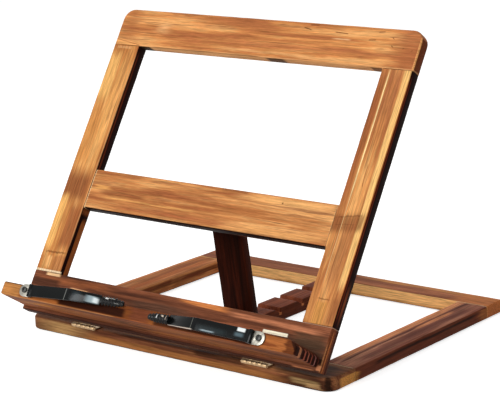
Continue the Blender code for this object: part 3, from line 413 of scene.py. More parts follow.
@dataclass(frozen=True)
class Pine:
    """Pine, scorched with a flame, brushed along the grain, stained and varnished.

    The flame darkens the hard autumn rings and the arrises, brushing leaves the soft
    spring wood a little lower, and the thin satin varnish gives a wide, weak sheen. The
    rings and pores are drawn a little coarser than in real pine, so that they show.
    """

    name: str
    light: str
    middle: str
    dark: str
    line: str
    ring_mm: float = 3.4
    streak_mm: float = 11.0
    contrast: float = 0.6
    roughness: float = 0.5
    seed: int = 0
    sheen_level: float = 0.025

    roughness_spread = (-0.08, 0.12)
    seed_step_mm = (173.0, 61.0, 37.0)
    # The broad bands are counted in streak_mm, the next three in ring_mm, the rest in mm.
    broad = Blotches(11.0, 1.0, 2.0, 0.5, 0.4)
    rings = Blotches(22.0, 1.0, 3.0, 0.6, 0.35)
    fine = Blotches(9.0, 0.33, 2.0, 0.6)
    pores = Blotches(12.0, 0.28, 1.0, 0.5, 0.2)
    fibre = Blotches(9.0, 0.5, 2.0)
    drift = Blotches(45.0, 8.0, 3.0)
    ragged = Blotches(20.0, 2.4, 2.0)
    band_weights = (0.9, 0.75, 0.45)
    band_range = (0.87, 1.23)
    line_softness = 0.12
    ring_lines_above = 0.56
    pores_above = 0.6
    pore_share = 0.7
    drift_mm = 4.0
    ragged_mm = 8.0
    drift_in_depth = 0.3
    grain_shade = {1: 0.32, 2: 0.68, 3: 1.3, 4: 0.68}
    fibre_shade = {1: 0.3, 2: 0.7, 3: 0.82, 4: 1.16}
    fibre_relief = 0.6
    relief = (0.35, 0.2)

    def material(self, matrix: Matrix, grain: Grain, marks: list[Mark]) -> bpy.types.Material:
        """Make the finish for one board.

        Args:
            matrix: The assembly's matrix.
            grain: The way that the grain runs.
            marks: What is laid over the plain wood, in order.

        Returns:
            The material.
        """
        material, tree, shader = new_material(self.name)
        place = assembly_place(tree, matrix)
        turned = add(tree, "ShaderNodeMapping", {
            "Vector": place, "Location": [self.seed * step for step in self.seed_step_mm],
            "Rotation": [math.radians(angle) for angle in grain.value]})

        broad = self.broad.lay(tree, turned, self.streak_mm)
        rings, fine, pores = (blotches.lay(tree, turned, self.ring_mm)
                              for blotches in (self.rings, self.fine, self.pores))
        fibre = self.fibre.lay(tree, turned)
        banded: float | bpy.types.Node = 0.0
        for source, weight in zip((broad, rings, fine), self.band_weights):
            banded = add(tree, MATH, {0: source, 1: weight, 2: banded}, operation="MULTIPLY_ADD")
        spread = add(tree, MAP_RANGE, {0: banded, 1: self.band_range[0], 2: self.band_range[1]})
        ramp = add(tree, "ShaderNodeValToRGB", {0: spread})
        stops = ramp.color_ramp
        stops.elements[0].color, stops.elements[1].color = linear(self.dark), linear(self.light)
        stops.elements.new(0.5).color = linear(self.middle)
        colour = ramp.outputs[0]
        for source, low, share in ((rings, self.ring_lines_above, 1.0),
                                   (pores, self.pores_above, self.pore_share)):
            lines = add(tree, MAP_RANGE, {0: source, 1: low, 2: low + self.line_softness,
                                          3: 0.0, 4: share * self.contrast},
                        interpolation_type="SMOOTHSTEP")
            colour = add(tree, MIX, {MIX_FACTOR: lines, MIX_A: colour, MIX_B: linear(self.line)},
                         data_type="RGBA").outputs[MIX_RESULT]

        drift, ragged = (
            add(tree, MAP_RANGE, {0: blotches.lay(tree, turned), 3: -reach, 4: reach})
            for blotches, reach in ((self.drift, self.drift_mm), (self.ragged, self.ragged_mm)))
        along, across = (ragged, drift) if grain is Grain.ALONG_X else (drift, ragged)
        upright = add(tree, MATH, {0: drift, 1: self.drift_in_depth}, operation="MULTIPLY")
        sway = add(tree, COMBINE, {0: along, 1: across, 2: upright})
        colour = lay_marks(tree, colour, marks, place, sway)

        grainy = add(tree, MAP_RANGE, {0: fine, **self.grain_shade})
        fibrous = add(tree, MAP_RANGE, {0: fibre, **self.fibre_shade})
        both = add(tree, MATH, {0: grainy, 1: fibrous}, operation="MULTIPLY")
        shaded = add(tree, VECTOR_MATH, {0: colour, "Scale": both}, operation="SCALE")
        relief = add(tree, MATH, {0: fibre, 1: self.fibre_relief, 2: rings},
                     operation="MULTIPLY_ADD")
        dress_shader(tree, shader, shaded, fine, self.roughness, self.roughness_spread, relief,
                     self.relief, {"Specular IOR Level": self.sheen_level})
        return material


@dataclass(frozen=True)
class Metal:
    """Plated steel: the plating's colour, a fine grain and a few dull spots from handling."""

    name: str
    colour: str
    tarnish: str
    roughness: float = 0.3
    spot_mm: float = 2.0

    roughness_spread = (-0.08, 0.12)
    dull_range = (0.5, 0.75)
    spot_detail = 3.0
    grain_mm = 0.25
    grain_detail = 1.0
    relief = (0.15, 0.03)

    def material(self) -> bpy.types.Material:
        """Make the finish.

        Returns:
            The material.
        """
        material, tree, shader = new_material(self.name)
        place = add(tree, "ShaderNodeTexCoord").outputs["Object"]
        spots, fine = (
            add(tree, NOISE, {"Vector": place, "Scale": 1 / (size * MM), "Detail": detail})
            for size, detail in ((self.spot_mm, self.spot_detail),
                                 (self.grain_mm, self.grain_detail)))
        dull = add(tree, MAP_RANGE, {0: spots, 1: self.dull_range[0], 2: self.dull_range[1]})
        mixed = add(tree, MIX, {MIX_FACTOR: dull, MIX_A: linear(self.colour),
                                MIX_B: linear(self.tarnish)}, data_type="RGBA")
        dress_shader(tree, shader, mixed.outputs[MIX_RESULT], spots, self.roughness,
                     self.roughness_spread, fine, self.relief, {"Metallic": 1.0})
        return material


@dataclass(frozen=True)
class Coating:
    """Enamel or rubber: a dark skin whose gloss varies a little from place to place, with highlights and
    reflections painted over its colour.
    """

    name: str
    colour: str
    worn: str
    roughness: float
    gloss_level: float
    ripple_mm: float
    ripple_height_mm: float

    roughness_spread = (-0.06, 0.1)
    scuff_range = (0.58, 0.8)
    ripple_detail = 2.0
    scuff_ripples = 6
    scuff_detail = 6.0
    relief_strength = 0.4

    def material(self, matrix: Matrix, marks: tuple[Mark, ...]) -> bpy.types.Material:
        """Make the finish.

        Args:
            matrix: The matrix of the assembly whose axes the marks are in.
            marks: Painted highlights and reflections, in order.

        Returns:
            The material.
        """
        material, tree, shader = new_material(self.name)
        place = add(tree, "ShaderNodeTexCoord").outputs["Object"]
        ripple, scuffs = (
            add(tree, NOISE, {"Vector": place, "Scale": 1 / (size * MM), "Detail": detail})
            for size, detail in ((self.ripple_mm, self.ripple_detail),
                                 (self.scuff_ripples * self.ripple_mm, self.scuff_detail)))
        shown = add(tree, MAP_RANGE, {0: scuffs, 1: self.scuff_range[0], 2: self.scuff_range[1]})
        mixed = add(tree, MIX, {MIX_FACTOR: shown, MIX_A: linear(self.colour),
                                MIX_B: linear(self.worn)}, data_type="RGBA")
        colour = lay_marks(tree, mixed.outputs[MIX_RESULT], list(marks),
                           assembly_place(tree, matrix))
        dress_shader(tree, shader, colour, scuffs, self.roughness, self.roughness_spread,
                     ripple, (self.relief_strength, self.ripple_height_mm),
                     {"Specular IOR Level": self.gloss_level})
        return material


@dataclass(frozen=True)
class Hardware:
    """The finishes that several sub-assemblies share."""

    brassed: bpy.types.Material
    zinc: bpy.types.Material
    screw: bpy.types.Material
    enamel: Coating
    rubber: Coating
    beech: bpy.types.Material


def make_hardware() -> Hardware:
    """Make the shared finishes, each from what the real one is.

    Returns:
        The finishes.
    """
    # Rolled steel under a thin brass plating: a warm satin shine, duller where it is handled.
    brassed = Metal("brassed pressed steel", "#B89C78", "#8A7052", 0.46).material()
    # Zinc plating scatters the light from fine crystals, so it looks pale grey and soft.
    zinc = Metal("bright zinc plating", "#9C998F", "#66635A", 0.4, 3.0).material()
    # The pivot screws' zinc has gone dark with age.
    screw = Metal("dulled zinc screws", "#3E3E3C", "#1E1E1D", 0.4).material()
    # Dipped enamel flows out to a deep black gloss with a slow ripple.
    enamel = Coating("gloss black enamel", "#060808", "#0E1415", 0.16, 0.12, 5.0, 0.05)
    # Moulded rubber is black with a fine pitting that breaks its highlights up.
    rubber = Coating("moulded black rubber", "#050505", "#0C0C0C", 0.24, 0.16, 0.9, 0.03)
    # Turned beech is pale, plain and close-grained; the joints hide it.
    beech = Pine("turned beech", "#D9B27C", "#CDA36C", "#BE9159", "#A87B48", 3.0, 8.0, 0.3, 0.6,
                 sheen_level=1.0).material(Matrix.Identity(4), Grain.ALONG_Y, [])
    return Hardware(brassed, zinc, screw, enamel, rubber, beech)


def placed(name: str, data: bpy.types.ID) -> bpy.types.Object:
    """Put data in the scene as a new object.

    Args:
        name: The object's name.
        data: Its mesh, lamp or camera.

    Returns:
        The object.
    """
    made = bpy.data.objects.new(name, data)
    bpy.context.scene.collection.objects.link(made)
    return made


def finish_piece(mesh: bpy.types.Mesh, name: str, body: str, nodes: list[str],
                 material: bpy.types.Material | None, smooth_deg: float = 35.0) -> bpy.types.Object:
    """Make a finished mesh a piece of the stand.

    Args:
        mesh: The mesh, in the stand's own metres.
        name: The piece's name.
        body: The body that carries it.
        nodes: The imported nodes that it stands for.
        material: Its finish, or None where the mesh has it already.
        smooth_deg: Edges that turn more than this stay sharp.

    Returns:
        The piece.
    """
    mesh.name = name
    mesh.shade_smooth()
    mesh.set_sharp_from_angle(angle=math.radians(smooth_deg))
    if material:
        mesh.materials.clear()
        mesh.materials.append(material)
    piece = placed(name, mesh)
    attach(piece, body)
    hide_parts(*nodes)
    LOG.info("%s: %d faces", name, len(mesh.polygons))
    return piece


def merged_copy(node: str) -> bmesh.types.BMesh:
    """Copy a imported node's mesh and join its loose triangles up.

    Args:
        node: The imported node.

    Returns:
        The mesh, open for editing.
    """
    bm = bmesh.new()
    bm.from_mesh(frame["nodes"][node].data)
    bmesh.ops.remove_doubles(bm, verts=bm.verts, dist=MERGE_MM * MM)
    bmesh.ops.dissolve_limit(bm, angle_limit=math.radians(FLAT_DEG), verts=bm.verts,
                             edges=bm.edges)
    return bm


def written(bm: bmesh.types.BMesh, name: str) -> bpy.types.Mesh:
    """Write what was built in a BMesh to a new mesh, and free it.

    Args:
        bm: What was built.
        name: The mesh's name.

    Returns:
        The mesh.
    """
    mesh = bpy.data.meshes.new(name)
    bm.to_mesh(mesh)
    bm.free()
    return mesh


def extent(bm: bmesh.types.BMesh) -> tuple[Vector, Vector]:
    """The lowest and highest corners of a BMesh."""
    places = np.array([vert.co for vert in bm.verts])
    return Vector(places.min(axis=0)), Vector(places.max(axis=0))


def plain_mesh(holder: bpy.types.Object) -> bpy.types.Mesh:
    """Take the evaluated mesh of an object, and remove the object.

    Args:
        holder: The object.

    Returns:
        A new mesh.
    """
    bpy.context.view_layer.update()
    evaluated = holder.evaluated_get(bpy.context.evaluated_depsgraph_get())
    mesh = bpy.data.meshes.new_from_object(evaluated)
    bpy.data.objects.remove(holder, do_unlink=True)
    return mesh


def rounded(mesh: bpy.types.Mesh, width_mm: float) -> bpy.types.Mesh:
    """Round a mesh's sharp edges with a Bevel modifier.

    Args:
        mesh: The mesh, left as it is.
        width_mm: The rounding's width.

    Returns:
        A new mesh.
    """
    holder = placed("rounding", mesh)
    bevel = holder.modifiers.new("rounding", "BEVEL")
    bevel.width = width_mm * MM
    bevel.segments = ROUNDING_STEPS
    bevel.limit_method = "ANGLE"
    bevel.angle_limit = math.radians(ROUNDED_FROM_DEG)
    return plain_mesh(holder)


def hardware_piece(node: str, body: str, material: bpy.types.Material,
                   edge_mm: float) -> bpy.types.Object:
    """Make a metal piece with its edges rounded as pressing or bending leaves them.

    Args:
        node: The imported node.
        body: The body that carries it.
        material: Its finish.
        edge_mm: The rounding's width.

    Returns:
        The piece.
    """
    mesh = rounded(written(merged_copy(node), node), edge_mm)
    return finish_piece(mesh, node + "_finished", body, [node], material)


@dataclass(frozen=True)
class Board:
    """One board: its node, its grain, its wood, what the flame and the years left on it, and the light and shade
    painted on it.

    The marks are laid first, then the colours of whole sides, then the finishing marks on top; painted highlights
    and shadows are among all three.
    """

    node: str
    grain: Grain
    wood: Pine
    # Colours of whole sides: char, painted light and painted shade.
    sides: dict[Side, tuple[str, float]] = field(default_factory=dict)
    marks: tuple[Mark, ...] = ()
    accents_and_painted_light: tuple[Mark, ...] = ()
    station_mm: float = 5.0
    worn_from_mm: float = FAR
    worn_drop_mm: float = 0.0
    arris_wear_mm: float = 0.35
    slot: str = "scorched_pine"

    cut_mm = 0.001
    hollow_mm = 0.12
    hollow_waves_mm = (38.0, 38.0, 14.0)
    nick_waves_mm = (11.0, 11.0, 5.0)
    seed_step = 3.7
    arris_share = 0.25
    least_wear = 0.25

    def build(self, assembly: Assembly, mesh: bpy.types.Mesh | None = None) -> bpy.types.Object:
        """Make the board.

        Args:
            assembly: The part of the stand that carries it.
            mesh: Its shape in the stand's metres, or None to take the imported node's.

        Returns:
            The finished piece.
        """
        matrix = assembly_matrix(assembly)
        if mesh is None:
            bm = merged_copy(self.node)
        else:
            bm = bmesh.new()
            bm.from_mesh(mesh)
            bpy.data.meshes.remove(mesh)
        bm.transform(matrix.inverted())
        low, high = extent(bm)
        for axis in (0, 1):
            self.cross_cut(bm, axis, low, high)
        self.wear(bm)
        self.slump(bm, low, high)
        bm.transform(matrix)
        # The sides' colours, which paint their light and shade.
        faces = [face_mark(low / MM, high / MM, side, tone, strength)
                 for side, (tone, strength) in self.sides.items()]
        material = self.wood.material(matrix, self.grain, [*self.marks, *faces, *self.accents_and_painted_light])
        return finish_piece(written(bm, self.node), self.node + "_board", assembly.value,
                            [self.node], material)

    def cross_cut(self, bm: bmesh.types.BMesh, axis: int, low: Vector, high: Vector) -> None:
        """Cut the faces at even stations along one axis, to give wear something to move.

        Args:
            bm: The board, in its assembly's axes.
            axis: 0 for x and 1 for y.
            low: Its lowest corner.
            high: Its highest corner.
        """
        count = int((high[axis] - low[axis]) / (self.station_mm * MM))
        normal = Vector((0.0, 0.0, 0.0))
        normal[axis] = 1.0
        for number in range(1, count + 1):
            spot = low.copy()
            spot[axis] += (high[axis] - low[axis]) * number / (count + 1)
            bmesh.ops.bisect_plane(bm, geom=[*bm.verts, *bm.edges, *bm.faces],
                                   dist=self.cut_mm * MM, plane_co=spot, plane_no=normal)

    def slump(self, bm: bmesh.types.BMesh, low: Vector, high: Vector) -> None:
        """Lower the worn top towards the board's right end.

        Args:
            bm: The board, in its assembly's axes.
            low: Its lowest corner.
            high: Its highest corner.
        """
        start = self.worn_from_mm * MM
        if start >= high.x:
            return
        for vert in bm.verts:
            share = max(0.0, vert.co.x - start) / (high.x - start)
            squash = self.worn_drop_mm * MM * share ** 2 / (high.y - low.y)
            vert.co.y = low.y + (vert.co.y - low.y) * (1 - squash)

    def wear(self, bm: bmesh.types.BMesh) -> None:
        """Hollow the faces slightly and rub the arrises down, always inwards.

        Args:
            bm: The board, in its assembly's axes.
        """
        bm.normal_update()
        shift = Vector((0.0, 0.0, self.wood.seed * self.seed_step))
        moves = []
        for vert in bm.verts:
            place = Vector(vert.co) / MM
            wide = Vector([part / wave for part, wave in zip(place, self.hollow_waves_mm)])
            short = Vector([part / wave for part, wave in zip(place, self.nick_waves_mm)])
            squareness = max(abs(component) for component in vert.normal)
            arris = min(1.0, (1.0 - squareness) / self.arris_share)
            depth = self.hollow_mm * (0.5 + 0.5 * noise.noise(wide + shift))
            nick = max(0.0, self.least_wear + noise.noise(short - shift))
            depth += self.arris_wear_mm * arris * nick
            moves.append(-vert.normal * depth * MM)
        for vert, move in zip(bm.verts, moves):
            vert.co += move


def geometry_tree(name: str, sockets: dict[str, str]
                  ) -> tuple[bpy.types.NodeTree, bpy.types.bpy_prop_collection]:
    """Start a geometry tree with a geometry socket each way and named inputs.

    Args:
        name: The tree's name.
        sockets: Input names and their socket types; a Finish is added to them.

    Returns:
        The tree and the sockets that its inputs come in by.
    """
    tree = bpy.data.node_groups.new(name, "GeometryNodeTree")
    tree.interface.new_socket("Geometry", in_out="INPUT", socket_type="NodeSocketGeometry")
    for label, kind in {**sockets, "Finish": "NodeSocketMaterial"}.items():
        tree.interface.new_socket(label, in_out="INPUT", socket_type=kind)
    tree.interface.new_socket("Geometry", in_out="OUTPUT", socket_type="NodeSocketGeometry")
    return tree, add(tree, "NodeGroupInput").outputs


def close_tree(tree: bpy.types.NodeTree, geometry: Source, finish: Source) -> None:
    """End a geometry tree in real geometry with its finish set.

    Args:
        tree: The tree.
        geometry: What it has made.
        finish: The material.
    """
    real = add(tree, "GeometryNodeRealizeInstances", {0: geometry})
    dressed = add(tree, "GeometryNodeSetMaterial", {"Geometry": real, "Material": finish})
    add(tree, "NodeGroupOutput", {0: dressed})


def grown_mesh(tree: bpy.types.NodeTree, start: bpy.types.Mesh, values: dict[str, object],
               edge_mm: float = 0.0, matrix: Matrix | None = None) -> bpy.types.Mesh:
    """Run a geometry tree on a mesh and return the plain result.

    Args:
        tree: The tree.
        start: The mesh that it starts from.
        values: Its inputs by name.
        edge_mm: Width of a rounding on the result's sharp edges, or zero for none.
        matrix: Where the result goes, or None to leave it.

    Returns:
        A new mesh in the stand's metres.
    """
    holder = placed(tree.name, start)
    modifier = holder.modifiers.new(tree.name, "NODES")
    modifier.node_group = tree
    for item in tree.interface.items_tree:
        if item.in_out == "INPUT" and item.name in values:
            modifier[item.identifier] = values[item.name]
    mesh = plain_mesh(holder)
    if edge_mm:
        mesh = rounded(mesh, edge_mm)
    if matrix:
        mesh.transform(matrix)
    return mesh


@dataclass(frozen=True)
class SlottedScrews:
    """Screws with slotted heads: one tree of Geometry Nodes makes every group of them."""

    vertices: int = 24
    dome_steps: int = 4
    shank_vertices: int = 12
    slot_reach: float = 3.0
    slot_share: float = 0.3
    slot_depth_share: float = 0.5
    edge_mm: float = 0.1

    @cache
    def tree(self) -> bpy.types.NodeTree:
        """Build the tree: a domed head, a slot across it and a shank, at every point.

        Returns:
            The tree.
        """
        tree, given = geometry_tree("slotted screws", {
            "Head Radius": FLOAT, "Head Height": FLOAT, "Dome": FLOAT, "Shank Radius": FLOAT,
            "Shank Length": FLOAT, "Turn": "NodeSocketRotation", "Seed": INTEGER})
        radius, height = given["Head Radius"], given["Head Height"]
        head = add(tree, "GeometryNodeMeshCylinder", {
            "Vertices": self.vertices, "Fill Segments": self.dome_steps, "Radius": radius,
            "Depth": height}, fill_type="TRIANGLE_FAN")
        half = add(tree, MATH, {0: height, 1: -0.5}, operation="MULTIPLY")
        lower = add(tree, COMBINE, {2: half})
        head = add(tree, TRANSFORM, {"Geometry": head, "Translation": lower})
        place = add(tree, SEPARATE, {0: add(tree, "GeometryNodeInputPosition")}).outputs
        flat = add(tree, COMBINE, {0: place[0], 1: place[1]})
        reach = add(tree, VECTOR_MATH, {0: flat}, operation="LENGTH").outputs["Value"]
        share = add(tree, MATH, {0: reach, 1: radius}, operation="DIVIDE")
        square = add(tree, MATH, {0: share, 1: 2.0}, operation="POWER")
        fall = add(tree, MATH, {0: square, 1: given["Dome"]}, operation="MULTIPLY")
        fall = add(tree, MATH, {0: fall, 1: -1.0}, operation="MULTIPLY")
        top = add(tree, "FunctionNodeCompare", {0: place[2], 1: half}, operation="GREATER_THAN")
        down = add(tree, COMBINE, {2: fall})
        head = add(tree, SET_POSITION, {"Geometry": head, "Selection": top, "Offset": down})
        long, wide, deep = (
            add(tree, MATH, {0: whole, 1: share}, operation="MULTIPLY")
            for whole, share in ((radius, self.slot_reach), (radius, self.slot_share),
                                 (height, 2 * self.slot_depth_share)))
        size = add(tree, COMBINE, {0: long, 1: wide, 2: deep})
        slot = add(tree, "GeometryNodeMeshCube", {"Size": size})
        cut = add(tree, "GeometryNodeMeshBoolean", {0: head, 1: slot}, operation="DIFFERENCE")
        shank = add(tree, "GeometryNodeMeshCylinder", {
            "Vertices": self.shank_vertices, "Radius": given["Shank Radius"],
            "Depth": given["Shank Length"]})
        middle = add(tree, MATH, {0: given["Shank Length"], 1: -0.5, 2: half},
                     operation="MULTIPLY_ADD")
        below = add(tree, COMBINE, {2: middle})
        shank = add(tree, TRANSFORM, {"Geometry": shank, "Translation": below})
        screw = add(tree, "GeometryNodeJoinGeometry", {0: cut})
        feed(tree, screw, {0: shank})
        spin = add(tree, "FunctionNodeRandomValue", {2: 0.0, 3: math.pi, "Seed": given["Seed"]})
        about = add(tree, COMBINE, {2: spin.outputs[1]})
        turned = add(tree, "FunctionNodeEulerToRotation", {0: about})
        turn = add(tree, "FunctionNodeRotateRotation", {0: given["Turn"], 1: turned},
                   rotation_space="LOCAL")
        screws = add(tree, INSTANCES, {"Points": given["Geometry"], "Instance": screw,
                                       "Rotation": turn})
        close_tree(tree, screws, given["Finish"])
        return tree

    def build(self, name: str, nodes: list[str], body: str, slot: str, axis: Vector,
              material: bpy.types.Material, head_mm: Triple, shank_mm: tuple[float, float],
              seed: int) -> bpy.types.Object:
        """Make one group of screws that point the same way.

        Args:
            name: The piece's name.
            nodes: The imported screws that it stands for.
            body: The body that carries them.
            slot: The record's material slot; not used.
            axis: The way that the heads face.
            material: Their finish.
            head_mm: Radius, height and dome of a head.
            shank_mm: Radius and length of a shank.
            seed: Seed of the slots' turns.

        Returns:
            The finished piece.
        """
        points = bpy.data.meshes.new(name)
        points.from_pydata([self.head_centre(node, axis) for node in nodes], [], [])
        values = {"Head Radius": head_mm[0] * MM, "Head Height": head_mm[1] * MM,
                  "Dome": head_mm[2] * MM, "Shank Radius": shank_mm[0] * MM,
                  "Shank Length": shank_mm[1] * MM, "Seed": seed, "Finish": material,
                  "Turn": UP.rotation_difference(axis).to_euler()}
        mesh = grown_mesh(self.tree(), points, values, self.edge_mm)
        return finish_piece(mesh, name, body, nodes, None)

    @staticmethod
    def head_centre(node: str, axis: Vector) -> Vector:
        """Find the middle of a packed screw's top from its vertices.

        Args:
            node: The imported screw.
            axis: The way that its head faces.

        Returns:
            The place in the stand's metres.
        """
        places = [vert.co for vert in frame["nodes"][node].data.vertices]
        top = max(place.dot(axis) for place in places)
        low = Vector([min(place[i] for place in places) for i in range(3)])
        high = Vector([max(place[i] for place in places) for i in range(3)])
        middle = (low + high) / 2
        return middle + axis * (top - middle.dot(axis))


@cache
def notch_tree() -> bpy.types.NodeTree:
    """Build the tree that cuts a wedge at every notch out of the board that comes in.

    Returns:
        The tree.
    """
    tree, given = geometry_tree("even notches", {
        "First Notch": VECTOR, "Pitch": VECTOR, "Notches": INTEGER, "Depth": FLOAT,
        "Ramp": FLOAT, "Wall": FLOAT, "Width": FLOAT})
    block = add(tree, "GeometryNodeMeshCube", {"Size": (1.0, 1.0, 1.0)})
    corner = add(tree, SEPARATE, {0: add(tree, "GeometryNodeInputPosition")}).outputs
    is_wall, is_top = (add(tree, MATH, {0: part, 1: 0.0}, operation="GREATER_THAN")
                       for part in corner[1:])
    back = add(tree, MATH, {0: given["Ramp"], 1: -1.0}, operation="MULTIPLY")
    reach = add(tree, MIX, {0: is_wall, 2: back, 3: given["Wall"]})
    across, along, rise = (
        add(tree, MATH, {0: first, 1: second}, operation="MULTIPLY")
        for first, second in ((corner[0], given["Width"]), (reach, is_top),
                              (given["Depth"], is_top)))
    spot = add(tree, COMBINE, {0: across, 1: along, 2: rise})
    wedge = add(tree, SET_POSITION, {"Geometry": block, "Position": spot})
    wedge = add(tree, "GeometryNodeMergeByDistance", {"Geometry": wedge,
                                                      "Distance": WEDGE_MERGE_MM * MM})
    line = add(tree, "GeometryNodeMeshLine", {
        "Count": given["Notches"], "Start Location": given["First Notch"],
        "Offset": given["Pitch"]})
    wedges = add(tree, INSTANCES, {"Points": line, "Instance": wedge})
    real = add(tree, "GeometryNodeRealizeInstances", {0: wedges})
    notched = add(tree, "GeometryNodeMeshBoolean", {0: given["Geometry"], 1: real},
                  operation="DIFFERENCE")
    close_tree(tree, notched, given["Finish"])
    return tree


@dataclass(frozen=True)
class Notches:
    """Even notches across a board, counted along y and cut from above.

    A notch falls to its depth along a ramp and rises again at a wall. The wedge that cuts
    it is larger by the overrun, so that it ends outside the board.
    """

    count: int
    first_mm: float
    pitch_mm: float
    depth_mm: float
    ramp_mm: float
    wall_mm: float
    overrun_mm: float
    edge_mm: float = 0.0

    @property
    def places_mm(self) -> list[float]:
        """How far each notch's deepest line lies from the assembly's front."""
        return [self.first_mm + self.pitch_mm * number for number in range(self.count)]

    def cut(self, board: bpy.types.Mesh, front: float, low: Vector, high: Vector,
            matrix: Matrix | None = None) -> bpy.types.Mesh:
        """Cut the notches.

        Args:
            board: The uncut board, with z upwards, in metres.
            front: Where its assembly begins along y.
            low: The board's lowest corner.
            high: Its highest corner.
            matrix: Where the result goes, or None to leave it.

        Returns:
            A new mesh.
        """
        growth = 1 + self.overrun_mm / self.depth_mm
        values = {"First Notch": ((low.x + high.x) / 2, front + self.first_mm * MM,
                                  high.z - self.depth_mm * MM),
                  "Pitch": (0.0, self.pitch_mm * MM, 0.0), "Notches": self.count,
                  "Depth": (self.depth_mm + self.overrun_mm) * MM,
                  "Ramp": self.ramp_mm * growth * MM, "Wall": self.wall_mm * growth * MM,
                  "Width": high.x - low.x + 2 * self.overrun_mm * MM}
        return grown_mesh(notch_tree(), board, values, self.edge_mm, matrix)


@dataclass(frozen=True)
class RibbedGrips:
    """Moulded grips: a tree of Geometry Nodes grows ribs along a short line."""

    ribs: int = 7
    sides: int = 20
    steps: int = 84
    rib_share: float = 0.15
    taper_from: float = 0.55
    tip_share: float = 0.62
    smooth_deg: float = 60.0

    @cache
    def tree(self) -> bpy.types.NodeTree:
        """Build the tree: a line whose radius swells at every rib, made into a closed skin.

        Returns:
            The tree.
        """
        tree, given = geometry_tree("ribbed grip", {
            "Length": FLOAT, "Radius": FLOAT, "Flatness": FLOAT, "Ribs": INTEGER})
        end = add(tree, COMBINE, {0: given["Length"]})
        line = add(tree, "GeometryNodeCurvePrimitiveLine", {"End": end})
        line = add(tree, "GeometryNodeResampleCurve", {"Curve": line, "Count": self.steps})
        along = add(tree, "GeometryNodeSplineParameter").outputs["Factor"]
        turns = add(tree, MATH, {0: given["Ribs"], 1: 2 * math.pi}, operation="MULTIPLY")
        phase = add(tree, MATH, {0: along, 1: turns}, operation="MULTIPLY")
        wave = add(tree, MATH, {0: phase}, operation="COSINE")
        swell = add(tree, MAP_RANGE, {0: wave, 1: -1.0, 2: 1.0, 3: 1.0, 4: 1 - 2 * self.rib_share})
        taper = add(tree, MAP_RANGE, {0: along, 1: self.taper_from, 2: 1.0, 3: 1.0,
                                      4: self.tip_share}, interpolation_type="SMOOTHSTEP")
        size = add(tree, MATH, {0: swell, 1: taper}, operation="MULTIPLY")
        line = add(tree, "GeometryNodeSetCurveRadius", {"Curve": line, "Radius": size})
        ring = add(tree, "GeometryNodeCurvePrimitiveCircle", {"Resolution": self.sides,
                                                              "Radius": given["Radius"]})
        skin = add(tree, "GeometryNodeCurveToMesh", {
            "Curve": line, "Profile Curve": ring, "Scale": size, "Fill Caps": True})
        flat = add(tree, COMBINE, {0: 1.0, 1: 1.0, 2: given["Flatness"]})
        skin = add(tree, TRANSFORM, {"Geometry": skin, "Scale": flat})
        close_tree(tree, skin, given["Finish"])
        return tree

    def build(self, node: str, body: str, inwards: Vector,
              material: bpy.types.Material) -> bpy.types.Object:
        """Grow one grip in the place of a packed one.

        Args:
            node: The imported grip.
            body: The body that carries it.
            inwards: A rough direction from the clip's arm to the grip's tip.
            material: Its finish.

        Returns:
            The finished piece.
        """
        places = np.array([vert.co for vert in frame["nodes"][node].data.vertices])
        _, _, basis = np.linalg.svd(places - places.mean(axis=0), full_matrices=False)
        along, wide = Vector(basis[0]), Vector(basis[1])
        if along.dot(inwards) < 0:
            along = -along
        axes = np.array([along, wide, along.cross(wide)])
        spread = places @ axes.T
        low, top = spread.min(axis=0), spread.max(axis=0)
        start = Vector(axes.T @ np.array([low[0], (low[1] + top[1]) / 2, (low[2] + top[2]) / 2]))
        matrix = Matrix.Translation(start) @ Matrix(axes.T.tolist()).to_4x4()
        length, width, height = (float(size) for size in top - low)
        values = {"Length": length, "Radius": width / 2, "Flatness": height / width,
                  "Ribs": self.ribs, "Finish": material}
        mesh = grown_mesh(self.tree(), bpy.data.meshes.new("grip start"), values, matrix=matrix)
        return finish_piece(mesh, node + "_finished", body, [node], None,
                            self.smooth_deg)


